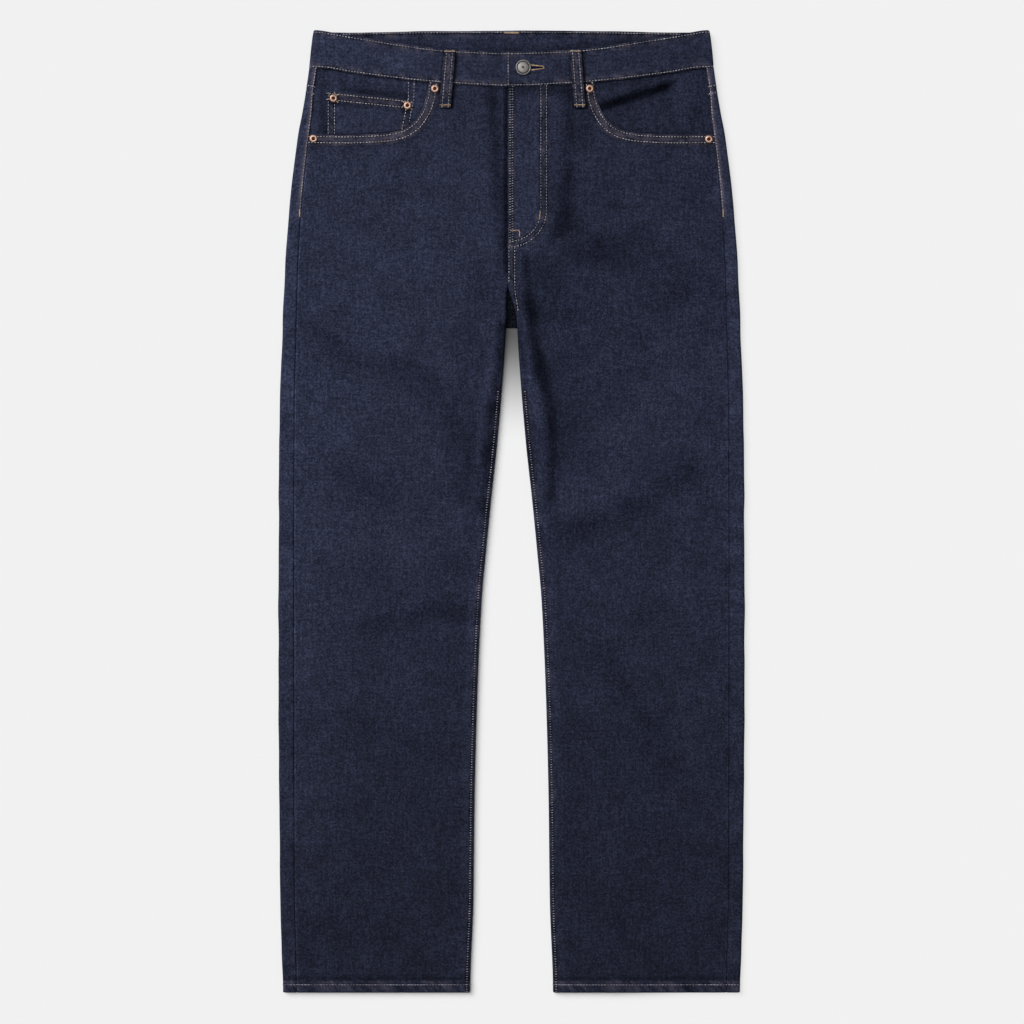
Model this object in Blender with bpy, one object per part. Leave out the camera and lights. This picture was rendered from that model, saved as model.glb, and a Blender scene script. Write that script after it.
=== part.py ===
"""Straight leg jeans laid flat on their back, with the front side up.

+Y runs from the hems to the waist, +X is the wearer's left and +Z is up. The origin is under the
middle of the garment, on the surface that it lies on. Every cloth piece is one sheet, lofted through
rows worked out from the sizes below and given its wall by a Solidify modifier.
"""

import math
from collections import namedtuple

import bmesh
import bpy

MM = 0.001

# Sizes in millimetres. A height runs up the garment from the hems. An offset runs sideways from the
# middle line towards the side of the piece, so one table serves both halves.
LENGTH = 1104.7
CLOTH = 1.4
THIN_CLOTH = 1.0
BAND_WALL = 2.0
LOOP_WALL = 1.5
GAP = 0.3
CROWN = 0.35
CROTCH = 763.6
SEAM_CLOSES = 820.0
FLY_EDGE = -4.2
FLY_WIDTH = 41.0
FLY_FOOT = 866.0
FLY_CURVE = 38.0
FLY_RISE = 1.0
FLY_JOINS = (812.0, 835.0)

Section = namedtuple("Section", "height outer seam_inset thickness")
SECTIONS = (
    Section(0, 262.8, 16.2, 5.8),
    Section(105, 265.7, 16.8, 6.1),
    Section(220, 266.8, 17.4, 6.2),
    Section(450, 268.0, 18.3, 6.3),
    Section(566, 267.5, 17.9, 6.3),
    Section(681, 266.2, 17.2, 6.4),
    Section(749, 263.6, 16.1, 6.4),
    Section(829, 260.5, 15.2, 6.4),
    Section(891, 255.8, 13.9, 6.4),
    Section(935, 252.0, 14.0, 6.5),
    Section(990, 244.4, 13.0, 6.9),
    Section(1010, 240.4, 11.6, 7.1),
    Section(1038, 235.6, 9.0, 7.4),
    Section(1062, 232.2, 9.4, 7.6),
    Section(1083, 230.0, 10.0, 7.6),
    Section(1105, 227.5, 10.0, 7.6),
)

# The leg's inner fold: its distance from the middle line, and the angle round the fold, from its
# innermost point up, at which the front panel ends at the inseam.
InnerFold = namedtuple("InnerFold", "height reach angle")
INNER_FOLDS = (
    InnerFold(0, 48.3, 45),
    InnerFold(105, 44.3, 45),
    InnerFold(220, 42.6, 45),
    InnerFold(335, 39.7, 45),
    InnerFold(450, 34.5, 45),
    InnerFold(508, 29.3, 45),
    InnerFold(566, 23.6, 45),
    InnerFold(623, 17.3, 42),
    InnerFold(681, 12.1, 28),
    InnerFold(738, 7.9, -10),
    InnerFold(764, 6.4, -28),
    InnerFold(783, 5.2, -28),
    InnerFold(796, 3.0, -12),
    InnerFold(808, 0.4, 30),
    InnerFold(820, -3.4, 90),
)

Edge = namedtuple("Edge", "offset height")
BAND_SEAM = (
    Edge(0, 1041.0),
    Edge(60, 1043.5),
    Edge(110, 1047.5),
    Edge(145, 1051.5),
    Edge(182, 1056.5),
    Edge(222, 1062.3),
    Edge(240, 1062.3),
)
BAND_TOP = (
    Edge(0, 1079.5),
    Edge(60, 1081.2),
    Edge(82, 1082.8),
    Edge(130, 1089.0),
    Edge(165, 1095.0),
    Edge(203, 1101.2),
    Edge(225, 1104.2),
    Edge(240, 1104.2),
)
BACK_BAND_TOP = (
    Edge(0, 1104.7),
    Edge(100, 1104.0),
    Edge(200, 1102.4),
    Edge(240, 1103.2),
)
SCOOP = (
    Edge(95, 1045.0),
    Edge(98, 1027.0),
    Edge(104, 1011.0),
    Edge(114, 998.0),
    Edge(128, 990.0),
    Edge(150, 986.3),
    Edge(190, 984.9),
    Edge(240, 985.4),
)
BACK_BAND_SEAM = 1062.3
YOKE_MIDDLE = 992.0
YOKE_SIDE = 1037.0
YOKE_REACH = 235.6
PAST_SIDE = 2.0 * YOKE_REACH

# The largest creases in the front, each a soft trough between two points (across, height).
Crease = namedtuple("Crease", "x1 h1 x2 h2 width depth")
CREASES = (
    Crease(21, 807, 47, 589, 12, 1.2),
    Crease(47, 522, 206, 618, 24, 1.0),
    Crease(-231, 744, -99, 713, 22, 0.8),
    Crease(-99, 713, -47, 600, 20, 0.8),
    Crease(-165, 437, -45, 451, 22, 0.8),
    Crease(102, 376, 194, 261, 22, 0.7),
)

Corner = namedtuple("Corner", "offset height")
POCKET_TOP_INNER = Corner(42, 958)
POCKET_TOP_OUTER = Corner(184, 970)
POCKET_FOOT_INNER = Corner(50, 828)
POCKET_FOOT_OUTER = Corner(176, 834)
POCKET_POINT = Corner(112, 808)
POCKET_LIFT = 1.6

COIN_TOP_INNER = Corner(115, 1024.8)
COIN_TOP_OUTER = Corner(211.5, 1035.0)

BAND_FRONT = 8.4
BAND_BACK = LOOP_WALL + GAP
BAND_LAP_RISE = 0.8
BAND_LAP_DROP = 1.8
BAND_LEFT_END = -6.5
BAND_RIGHT_END = 30.0

BUTTON = Corner(13.5, 1061.6)
BUTTON_RADIUS = 8.9
SHANK_RADIUS = 2.0
EYELET_RADIUS = 2.8
BUTTONHOLE_END = 36.0
SLIT_HALF = 0.9
EYELET_STEPS = 14
RIVET_RADIUS = 4.75

# Each rivet: its place, and how far the cloth under it lies below the front.
Rivet = namedtuple("Rivet", "x height lower")
RIVETS = {
    "rivet_band_left": Rivet(89.9, 1037.5, 0.0),
    "rivet_band_right": Rivet(-87.7, 1037.4, 0.0),
    "rivet_side_left": Rivet(226.6, 979.6, 0.0),
    "rivet_side_right": Rivet(-227.2, 980.3, 0.0),
    "rivet_coin_inner": Rivet(-119.3, 1018.3, CLOTH - THIN_CLOTH),
    "rivet_coin_outer": Rivet(-204.2, 1026.6, CLOTH - THIN_CLOTH),
}

LOOP_WIDTH = 14.3
BACK_LOOP_WIDTH = 16.5
LOOP_LENGTH = 66.0
LOOP_STAND = 0.8
FRONT_LOOPS = {"left": (73.2, 78.4), "right": (-70.7, -76.2)}
BACK_LOOPS = {"back": 0.0, "back_left": 160.0, "back_right": -160.0}

LEG_LEVELS = (0, 60, 130, 210, 300, 390, 450, 510, 570, 625, 675, 715, 745, 763)
FRONT_LEVELS = LEG_LEVELS + (783, 796, 808, 822, 855, 895, 930, 965, 1003, 1041)
BACK_LEVELS = LEG_LEVELS + (765, 780, 797, 850, 915, 978, 1005, 1037)
LEVEL_BEND = 895.0
BACK_LEVEL_BEND = 978.0
FRONT_COLUMNS = (0.0, 0.13, 0.27, 0.405, 0.422, 0.447, 0.49, 0.555, 0.66, 0.82, 1.0)
BACK_COLUMNS = (0.04, 0.085, 0.14, 0.31, 0.47, 0.63, 0.77, 0.83, 0.92, 1.0)
FRONT_FOLD_SHARES = (0.0, 0.15, 0.58)
BACK_FOLD_SHARES = (0.0, 0.06, 0.36, 0.68)
FRONT_SPREAD = 5.0
SEAM_ANGLE = 14.0
CROTCH_ANGLE = 24.0
OUTER_STEPS = 5

# How far a facing is tucked past the scoop, below it and under the side strip.
FACING_TUCK = 9.0
FACING_REACH = 14.0
FACING_SIDE = 1.4

ZIP_EDGES = (-15.0, -5.0, 5.0, 18.0)
ZIP_FOOT = FLY_FOOT + 22.0
ZIP_LIFT = 0.4

# The way round the waistband, from its left end: across the front, the back and the other front.
BAND_LEFT = (BAND_LEFT_END, 4.0, 14.0, 25.0, 36.0, 50.0, 64.0, 78.0, 110.0, 145.0, 182.0, 221.0)
BAND_MIDDLE = (200.0, 150.0, 100.0, 50.0, 0.0, -50.0, -100.0, -150.0, -200.0)
BAND_RIGHT = (-221.0, -182.0, -145.0, -110.0, -82.0, -60.0, -40.0)
BAND_LAP = (-26.0, -20.0, -14.5, -9.0, 3.0, 16.0, BAND_RIGHT_END)

DENIM = (0.0185, 0.0225, 0.0455)
DENIM_INSIDE = (0.030, 0.035, 0.062)
ANTIQUE_METAL = (0.17, 0.17, 0.18)
COPPER = (0.42, 0.19, 0.11)
ZIP_TAPE = (0.02, 0.022, 0.035)


def smoothstep(low, high, value):
    t = min(max((value - low) / (high - low), 0.0), 1.0)
    return t * t * (3.0 - 2.0 * t)


def mix(a, b, t):
    return a + (b - a) * t


def slope(keys, values, i):
    """The curve's slope at row i, limited so that it never overshoots its rows."""
    if i == 0:
        return 0.0
    before = (values[i] - values[i - 1]) / (keys[i] - keys[i - 1])
    if i == len(keys) - 1:
        return before
    after = (values[i + 1] - values[i]) / (keys[i + 1] - keys[i])
    if before * after <= 0.0:
        return 0.0
    return 2.0 * before * after / (before + after)


def read(table, column, key):
    """A smooth curve through one column of a table, whose first column is the key."""
    keys = [row[0] for row in table]
    values = [getattr(row, column) for row in table]
    if key <= keys[0]:
        return values[0]
    if key >= keys[-1]:
        return values[-1]
    i = max(n for n, k in enumerate(keys) if k <= key)
    span = keys[i + 1] - keys[i]
    t = (key - keys[i]) / span
    a = slope(keys, values, i) * span
    b = slope(keys, values, i + 1) * span
    rise = values[i + 1] - values[i]
    return values[i] + t * (a + t * (3 * rise - 2 * a - b + t * (a + b - 2 * rise)))


def segment_distance(x, h, crease):
    dx = crease.x2 - crease.x1
    dh = crease.h2 - crease.h1
    t = ((x - crease.x1) * dx + (h - crease.h1) * dh) / (dx * dx + dh * dh)
    t = min(max(t, 0.0), 1.0)
    return math.hypot(x - crease.x1 - t * dx, h - crease.h1 - t * dh)


def under(offset, height):
    """Outer face of the back: on the surface, but lifted over the back pockets and the belt loops."""
    across = offset / fold_centre(height)
    window = smoothstep(0.09, 0.135, across) - smoothstep(0.775, 0.825, across)
    window *= smoothstep(782, 795, height) - smoothstep(980, 1003, height)
    return max(POCKET_LIFT * window, BAND_BACK * smoothstep(985, 1030, height))


def thickness(height):
    return read(SECTIONS, "thickness", height)


def outer(height):
    return read(SECTIONS, "outer", height)


def outseam(height):
    return outer(height) - read(SECTIONS, "seam_inset", height)


def side_lift(height):
    return BAND_BACK * smoothstep(985, 1030, height)


def radius(height):
    """Radius of the soft folds down both edges of a leg, measured to the outer face."""
    return (thickness(height) - side_lift(height)) / 2.0


def fold_centre(height):
    return outer(height) - radius(height)


def front_seam(side, height):
    """Offset of the seam between the two fronts, which runs down the fly's edge to the crotch."""
    return side * FLY_EDGE * smoothstep(775, 812, height)


def inner_centre(side, height):
    """Offset of the centre of the inner fold, where the front's top face starts."""
    if height >= SEAM_CLOSES:
        return front_seam(side, height) + GAP / 2.0
    return front_seam(side, height) + read(INNER_FOLDS, "reach", height) + radius(height)


def fly_width(height):
    drop = max(FLY_FOOT + FLY_CURVE - height, 0.0) / FLY_CURVE
    return FLY_WIDTH * math.sqrt(max(1.0 - drop * drop, 0.0))


def fly_shape(offset, height):
    """1 over the fly's facing, which ends in a curve at its foot, and 0 past it."""
    width = fly_width(height)
    return 1.0 - smoothstep(width - 1.0, width + 7.0, offset)


def skin(side, offset, height):
    """Outer face of the front, with its crown, creases and the fly's rise."""
    start = inner_centre(side, height)
    end = fold_centre(height)
    across = min(max((offset - start) / (end - start), 0.0), 1.0)
    clear = smoothstep(0.0, 12.0, min(offset - start, end - offset))
    z = thickness(height) + CROWN * math.sin(math.pi * across)
    for crease in CREASES:
        distance = segment_distance(side * offset, height, crease)
        z -= clear * crease.depth * math.exp(-((distance / crease.width) ** 2))
    if side > 0:
        z += FLY_RISE * fly_shape(offset, height) * smoothstep(*FLY_JOINS, height)
    return z


def front_top(offset):
    """Upper edge of a front: the band seam, then the scoop of the hand pocket."""
    seam = read(BAND_SEAM, "height", max(offset, 0.0)) - GAP / 2.0
    if offset < SCOOP[0].offset:
        return seam
    return min(seam, read(SCOOP, "height", offset))


def yoke_seam(offset):
    return mix(YOKE_MIDDLE, YOKE_SIDE, min(offset / YOKE_REACH, 1.0))


def level_height(level, bend, top_level, top):
    """Height of a row: level below the bend, then stretched to follow the upper edge."""
    if level <= bend:
        return level
    return mix(bend, top, (level - bend) / (top_level - bend))


def place(side, offset, height, z):
    return (side * offset * MM, (height - LENGTH / 2.0) * MM, z * MM)


def plain_material(name, colour, roughness, metallic):
    material = bpy.data.materials.new(name)
    material.use_nodes = True
    shader = material.node_tree.nodes["Principled BSDF"]
    shader.inputs["Base Color"].default_value = (*colour, 1.0)
    shader.inputs["Roughness"].default_value = roughness
    shader.inputs["Metallic"].default_value = metallic
    return material


def add_object(name, bm, colour, roughness=0.9, metallic=0.0):
    mesh = bpy.data.meshes.new(name)
    bm.to_mesh(mesh)
    bm.free()
    mesh.materials.append(plain_material(name + "_finish", colour, roughness, metallic))
    mesh.shade_smooth()
    obj = bpy.data.objects.new(name, mesh)
    bpy.context.scene.collection.objects.link(obj)
    return obj


def sheet(name, rows, wall, colour, face_down=False):
    """One piece of cloth: its outer face through the rows, and a wall of the given thickness."""
    bm = bmesh.new()
    grid = [[bm.verts.new(point) for point in row] for row in rows]
    for low, high in zip(grid, grid[1:]):
        for i in range(len(low) - 1):
            bm.faces.new((low[i], low[i + 1], high[i + 1], high[i]))
    bm.normal_update()
    upward = sum(face.normal.z * face.calc_area() for face in bm.faces)
    if (upward < 0.0) != face_down:
        bmesh.ops.reverse_faces(bm, faces=bm.faces)
    obj = add_object(name, bm, colour)
    solidify = obj.modifiers.new("Wall", "SOLIDIFY")
    solidify.thickness = wall * MM
    solidify.offset = -1.0
    return obj


def turned(name, centre, profile, steps, colour, roughness):
    """A round metal piece: a profile of (radius, height) turned about the upright line at centre."""
    bm = bmesh.new()
    x, y, _ = centre
    rings = []
    for ring_radius, z in profile[1:-1]:
        angles = [math.tau * i / steps for i in range(steps)]
        rings.append([bm.verts.new((x + ring_radius * MM * math.cos(a),
                                    y + ring_radius * MM * math.sin(a), z * MM)) for a in angles])
    foot = bm.verts.new((x, y, profile[0][1] * MM))
    crown = bm.verts.new((x, y, profile[-1][1] * MM))
    for i in range(steps):
        j = (i + 1) % steps
        bm.faces.new((foot, rings[0][j], rings[0][i]))
        bm.faces.new((crown, rings[-1][i], rings[-1][j]))
        for low, high in zip(rings, rings[1:]):
            bm.faces.new((low[i], low[j], high[j], high[i]))
    return add_object(name, bm, colour, roughness, 1.0)


def front_panel(side, name):
    rows = []
    top_level = FRONT_LEVELS[-1]
    for level in FRONT_LEVELS:
        row = []
        edge = level_height(level, LEVEL_BEND, top_level, front_top(0.0))
        start = read(INNER_FOLDS, "angle", edge)
        spread = FRONT_SPREAD * smoothstep(40, 90, start) + 0.2
        first = inner_centre(side, edge)
        turn = radius(edge)
        for share in FRONT_FOLD_SHARES:
            angle = math.radians(mix(start, 90.0, share))
            offset = first - turn * math.cos(angle) + spread * share
            z = skin(side, max(offset, first), edge) - turn * (1.0 - math.sin(angle))
            row.append(place(side, offset, edge, z))
        for fraction in FRONT_COLUMNS:
            height = level
            for _ in range(4):
                low = inner_centre(side, height) + spread
                offset = mix(low, outseam(height) - GAP / 2.0, fraction)
                height = level_height(level, LEVEL_BEND, top_level, front_top(offset))
            row.append(place(side, offset, height, skin(side, offset, height)))
        rows.append(row)
    return sheet(name, rows, CLOTH, DENIM)


def back_section(side, height_at, inner_points):
    """Points of a back piece, from its inner edge, under the leg and round the outer fold."""
    row = list(inner_points)
    for fraction in BACK_COLUMNS:
        height = height_at(fraction * fold_centre(height_at(0.0)))
        low = inner_points_end(height)
        offset = mix(low, fold_centre(height), (fraction - BACK_COLUMNS[0]) / (1.0 - BACK_COLUMNS[0]))
        row.append(place(side, offset, height, under(offset, height)))
    height = height_at(PAST_SIDE)
    centre = fold_centre(height)
    turn = radius(height)
    for k in range(1, OUTER_STEPS + 1):
        angle = math.radians(mix(-90.0, 90.0, k / OUTER_STEPS))
        lift = side_lift(height) + turn
        row.append(place(side, centre + turn * math.cos(angle), height, lift + turn * math.sin(angle)))
    for fraction in (0.5, 1.0):
        offset = mix(centre, outseam(height) + GAP / 2.0, fraction)
        row.append(place(side, offset, height, skin(side, offset, height)))
    return row


def inner_points_end(height):
    """Offset at which a back piece's flat underside starts."""
    if height > CROTCH:
        return BACK_COLUMNS[0] * fold_centre(height)
    return inner_centre(1.0, height)


def back_inner_edge(side, height):
    """A back panel's inner edge: flat to the middle seam, or up the leg's inner fold to the inseam."""
    points = []
    for share in BACK_FOLD_SHARES:
        if height > CROTCH:
            offset = mix(GAP / 2.0, inner_points_end(height), share)
            points.append(place(side, offset, height, under(offset, height)))
            continue
        open_seam = SEAM_ANGLE + CROTCH_ANGLE * smoothstep(700, CROTCH, height)
        angle = math.radians(mix(read(INNER_FOLDS, "angle", height) - open_seam, -90.0, share))
        turn = radius(height)
        offset = inner_centre(side, height) - turn * math.cos(angle)
        points.append(place(side, offset, height, turn * (1.0 + math.sin(angle))))
    return points


def back_panel(side, name):
    rows = []
    top_level = BACK_LEVELS[-1]
    for level in BACK_LEVELS:
        def height_at(offset, level=level):
            top = yoke_seam(offset) - GAP / 2.0
            return level_height(level, BACK_LEVEL_BEND, top_level, top)
        rows.append(back_section(side, height_at, back_inner_edge(side, height_at(0.0))))
    return sheet(name, rows, CLOTH, DENIM, face_down=True)


def back_yoke(side, name):
    rows = []
    for step in range(4):
        share = step / 3.0

        def height_at(offset, share=share):
            return mix(yoke_seam(offset) + GAP / 2.0, BACK_BAND_SEAM - GAP / 2.0, share)
        rows.append(back_section(side, height_at, back_inner_edge(side, height_at(0.0))))
    return sheet(name, rows, CLOTH, DENIM, face_down=True)


def back_pocket(side, name):
    rows = []
    for share in (0.0, 0.25, 0.5, 0.75, 1.0):
        row = []
        for across in (0.0, 0.25, 0.5, 0.75, 1.0):
            top = mix(POCKET_TOP_INNER.height, POCKET_TOP_OUTER.height, across)
            if across <= 0.5:
                foot = mix(POCKET_FOOT_INNER.height, POCKET_POINT.height, 2.0 * across)
            else:
                foot = mix(POCKET_POINT.height, POCKET_FOOT_OUTER.height, 2.0 * across - 1.0)
            inner = mix(POCKET_FOOT_INNER.offset, POCKET_TOP_INNER.offset, share)
            edge = mix(POCKET_FOOT_OUTER.offset, POCKET_TOP_OUTER.offset, share)
            row.append(place(side, mix(inner, edge, across), mix(foot, top, share), 0.0))
        rows.append(row)
    return sheet(name, rows, POCKET_LIFT - GAP, DENIM, face_down=True)


def pocket_facing(side, name):
    """The denim behind a hand pocket's scoop, tucked under the front and under the side strip."""
    inner = SCOOP[0].offset - FACING_TUCK
    rows = []
    for share in (0.0, 0.3, 0.6, 1.0):
        row = []
        for across in (0.0, 0.07, 0.2, 0.4, 0.6, 0.8, 1.0):
            height = BAND_SEAM[-1].height
            for _ in range(4):
                offset = mix(inner, outseam(height) + FACING_SIDE, across)
                foot = read(SCOOP, "height", max(offset, SCOOP[2].offset)) - FACING_REACH
                height = mix(foot, read(BAND_SEAM, "height", offset) - GAP / 2.0, share)
            row.append(place(side, offset, height, skin(side, offset, height) - CLOTH - GAP))
        rows.append(row)
    return sheet(name, rows, THIN_CLOTH, DENIM)


def coin_pocket(name):
    side = -1.0
    rows = []
    for share in (0.0, 0.5, 1.0):
        row = []
        for across in (0.0, 0.1, 0.25, 0.5, 0.75, 1.0):
            offset = mix(COIN_TOP_INNER.offset + 2.5, COIN_TOP_OUTER.offset, across)
            foot = read(SCOOP, "height", offset) + 6.0 * GAP
            top = mix(COIN_TOP_INNER.height, COIN_TOP_OUTER.height, across)
            height = mix(foot, top, share)
            z = skin(side, offset, height) - CLOTH + THIN_CLOTH
            row.append(place(side, offset, height, z))
        rows.append(row)
    return sheet(name, rows, THIN_CLOTH, DENIM)


def fly_facing(name):
    """The facing behind the left front's fly, cut to the curve that its stitching follows."""
    rows = []
    foot = FLY_FOOT + 4.0
    for share in (0.0, 0.08, 0.2, 0.4, 0.7, 1.0):
        height = mix(foot, front_top(0.0) - 0.5, share)
        width = fly_width(height) - 3.0
        row = []
        for step in range(4):
            offset = mix(FLY_EDGE + 0.8, width, step / 3.0)
            row.append(place(1.0, offset, height, skin(1.0, offset, height) - CLOTH - GAP))
        rows.append(row)
    return sheet(name, rows, THIN_CLOTH, DENIM_INSIDE)


def zip_strip(name):
    """The closed zip under the fly, with tape and chain as one plain strip."""
    rows = []
    for share in (0.0, 0.25, 0.5, 0.75, 1.0):
        height = mix(ZIP_FOOT, front_top(0.0) - 3.0, share)
        z = skin(-1.0, 10.0, height) - CLOTH - 2.0 * GAP - THIN_CLOTH + ZIP_LIFT
        rows.append([place(1.0, x, height, z) for x in ZIP_EDGES])
    return sheet(name, rows, THIN_CLOTH, ZIP_TAPE)


def band_skin(x):
    """Outer face of the front waistband, whose left end laps over its right end."""
    if x >= BAND_LEFT_END:
        return BAND_FRONT + BAND_LAP_RISE * (1.0 - smoothstep(36, 76, x))
    return BAND_FRONT - BAND_LAP_DROP * smoothstep(-26, -9, x)


def band_stations():
    """The way round the waistband: (part, position) from its left end to its right end."""
    turns = [k / OUTER_STEPS for k in range(OUTER_STEPS + 1)]
    stations = [("front", x) for x in BAND_LEFT]
    stations += [("fold", mix(90.0, -90.0, turn)) for turn in turns]
    stations += [("back", x) for x in BAND_MIDDLE]
    stations += [("far_fold", mix(-90.0, 90.0, turn)) for turn in turns]
    stations += [("front", x) for x in BAND_RIGHT]
    stations += [("lap", x) for x in BAND_LAP]
    return stations


def band_point(part, position, share):
    """A point of the waistband, share of the way from its lower to its upper edge."""
    if part in ("fold", "far_fold"):
        side = 1.0 if part == "fold" else -1.0
        angle = math.radians(position)
        front_share = (1.0 + math.sin(angle)) / 2.0
        low = mix(BACK_BAND_SEAM, BAND_SEAM[-1].height, front_share) + GAP / 2.0
        high = mix(BACK_BAND_TOP[-1].height, BAND_TOP[-1].height, front_share)
        height = mix(low, high, share)
        turn = (BAND_FRONT - BAND_BACK) / 2.0
        offset = outer(height) - turn + turn * math.cos(angle)
        return place(side, offset, height, BAND_BACK + turn * (1.0 + math.sin(angle)))
    if part == "back":
        low = BACK_BAND_SEAM + GAP / 2.0
        height = mix(low, read(BACK_BAND_TOP, "height", abs(position)), share)
        return place(1.0, position, height, BAND_BACK)
    low = read(BAND_SEAM, "height", abs(position)) + GAP / 2.0
    high = read(BAND_TOP, "height", abs(position))
    if part == "lap":
        z = BAND_FRONT - BAND_LAP_DROP * smoothstep(-26, -9, position)
        return place(1.0, position, mix(low, high, share), z)
    return place(1.0, position, mix(low, high, share), band_skin(position))


def buttonhole_cutter(name):
    """A keyhole: a round eyelet under the button and a narrow slit away from the band's end."""
    bm = bmesh.new()
    meet = math.asin(SLIT_HALF / EYELET_RADIUS)
    outline = []
    for k in range(EYELET_STEPS + 1):
        angle = mix(meet, math.tau - meet, k / EYELET_STEPS)
        outline.append((BUTTON.offset + EYELET_RADIUS * math.cos(angle),
                        BUTTON.height + EYELET_RADIUS * math.sin(angle)))
    outline += [(BUTTONHOLE_END, BUTTON.height - SLIT_HALF), (BUTTONHOLE_END, BUTTON.height + SLIT_HALF)]
    low = BAND_FRONT - BAND_LAP_DROP + 0.25
    face = bm.faces.new([bm.verts.new(place(1.0, x, h, low)) for x, h in outline])
    extruded = bmesh.ops.extrude_face_region(bm, geom=[face])
    moved = [item for item in extruded["geom"] if isinstance(item, bmesh.types.BMVert)]
    bmesh.ops.translate(bm, verts=moved, vec=(0.0, 0.0, 4.0 * MM))
    bmesh.ops.recalc_face_normals(bm, faces=bm.faces)
    cutter = add_object(name, bm, DENIM)
    cutter.hide_render = True
    cutter.display_type = "WIRE"
    return cutter


def waistband(name):
    rows = [[band_point(part, position, share) for part, position in band_stations()]
            for share in (0.0, 0.5, 1.0)]
    band = sheet(name, rows, BAND_WALL, DENIM)
    cut = band.modifiers.new("Buttonhole", "BOOLEAN")
    cut.operation = "DIFFERENCE"
    cut.object = buttonhole_cutter("buttonhole_cutter")
    return band


def belt_loop(name, centre_at, width, z_at, top, length, face_down):
    rows = []
    for share in (0.0, 0.14, 0.28, 0.42, 0.52, 0.62, 0.8, 1.0):
        middle = centre_at(share)
        height = top - length * share
        row = [place(1.0, middle + width * (across - 0.5), height, z_at(middle, share, height))
               for across in (0.0, 0.5, 1.0)]
        rows.append(row)
    return sheet(name, rows, LOOP_WALL, DENIM, face_down)


def front_loop(name, top_x, foot_x):
    side = 1.0 if top_x > 0.0 else -1.0
    top = read(BAND_TOP, "height", abs(top_x)) - 0.3

    def centre_at(share):
        return mix(top_x, foot_x, share)

    def z_at(middle, share, height):
        on_band = band_skin(middle)
        on_front = skin(side, side * middle, height)
        seat = mix(on_band, on_front, smoothstep(0.62, 0.8, share))
        return seat + GAP + LOOP_WALL + LOOP_STAND * math.sin(math.pi * share)

    return belt_loop(name, centre_at, LOOP_WIDTH, z_at, top, LOOP_LENGTH, False)


def back_loop(name, x):
    top = read(BACK_BAND_TOP, "height", abs(x))
    return belt_loop(name, lambda share: x, BACK_LOOP_WIDTH, lambda middle, share, height: 0.0,
                     top, LOOP_LENGTH, True)


def button(name):
    x, y, _ = place(1.0, BUTTON.offset, BUTTON.height, 0.0)
    foot = BAND_FRONT - BAND_LAP_DROP + GAP
    seat = BAND_FRONT + BAND_LAP_RISE + GAP
    profile = ((0.0, foot), (SHANK_RADIUS, foot), (SHANK_RADIUS, seat), (BUTTON_RADIUS - 0.6, seat),
               (BUTTON_RADIUS, seat + 0.5), (BUTTON_RADIUS, seat + 1.1), (BUTTON_RADIUS - 0.6, seat + 1.7),
               (BUTTON_RADIUS - 1.5, seat + 1.75), (BUTTON_RADIUS - 1.9, seat + 1.5),
               (BUTTON_RADIUS - 3.5, seat + 2.1), (BUTTON_RADIUS - 6.0, seat + 2.5), (0.0, seat + 2.6))
    return turned(name, (x, y, 0.0), profile, 20, ANTIQUE_METAL, 0.45)


def rivet(name, at):
    x, y, _ = place(1.0, at.x, at.height, 0.0)
    seat = skin(math.copysign(1.0, at.x), abs(at.x), at.height) - at.lower + GAP
    profile = ((0.0, seat), (RIVET_RADIUS - 0.3, seat), (RIVET_RADIUS, seat + 0.35),
               (RIVET_RADIUS - 0.9, seat + 1.0), (1.9, seat + 1.0), (1.5, seat + 0.55), (0.0, seat + 0.75))
    return turned(name, (x, y, 0.0), profile, 10, COPPER, 0.35)


def main():
    for obj in list(bpy.data.objects):
        bpy.data.objects.remove(obj, do_unlink=True)
    for side, label in ((1.0, "left"), (-1.0, "right")):
        front_panel(side, "front_panel_" + label)
        back_panel(side, "back_panel_" + label)
        back_yoke(side, "back_yoke_" + label)
        back_pocket(side, "back_pocket_" + label)
        pocket_facing(side, "pocket_facing_" + label)
        front_loop("belt_loop_front_" + label, *FRONT_LOOPS[label])
    coin_pocket("coin_pocket")
    for name, at in RIVETS.items():
        rivet(name, at)
    fly_facing("fly_facing")
    zip_strip("fly_zip")
    waistband("waistband")
    for label, x in BACK_LOOPS.items():
        back_loop("belt_loop_" + label, x)
    button("waist_button")


main()
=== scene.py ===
"""Straight leg jeans laid flat on their back: cloth, seams, stitching and metal, with a studio stage.

Lengths in the sizes below are millimetres. A height runs up the garment from the hems, an offset runs
sideways from the middle line towards the side of the piece, and an across value (x) has its sign.
"""

import math
from collections import namedtuple

import bmesh
import bpy
import numpy as np
from mathutils import Matrix, Vector
from mathutils.bvhtree import BVHTree


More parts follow.
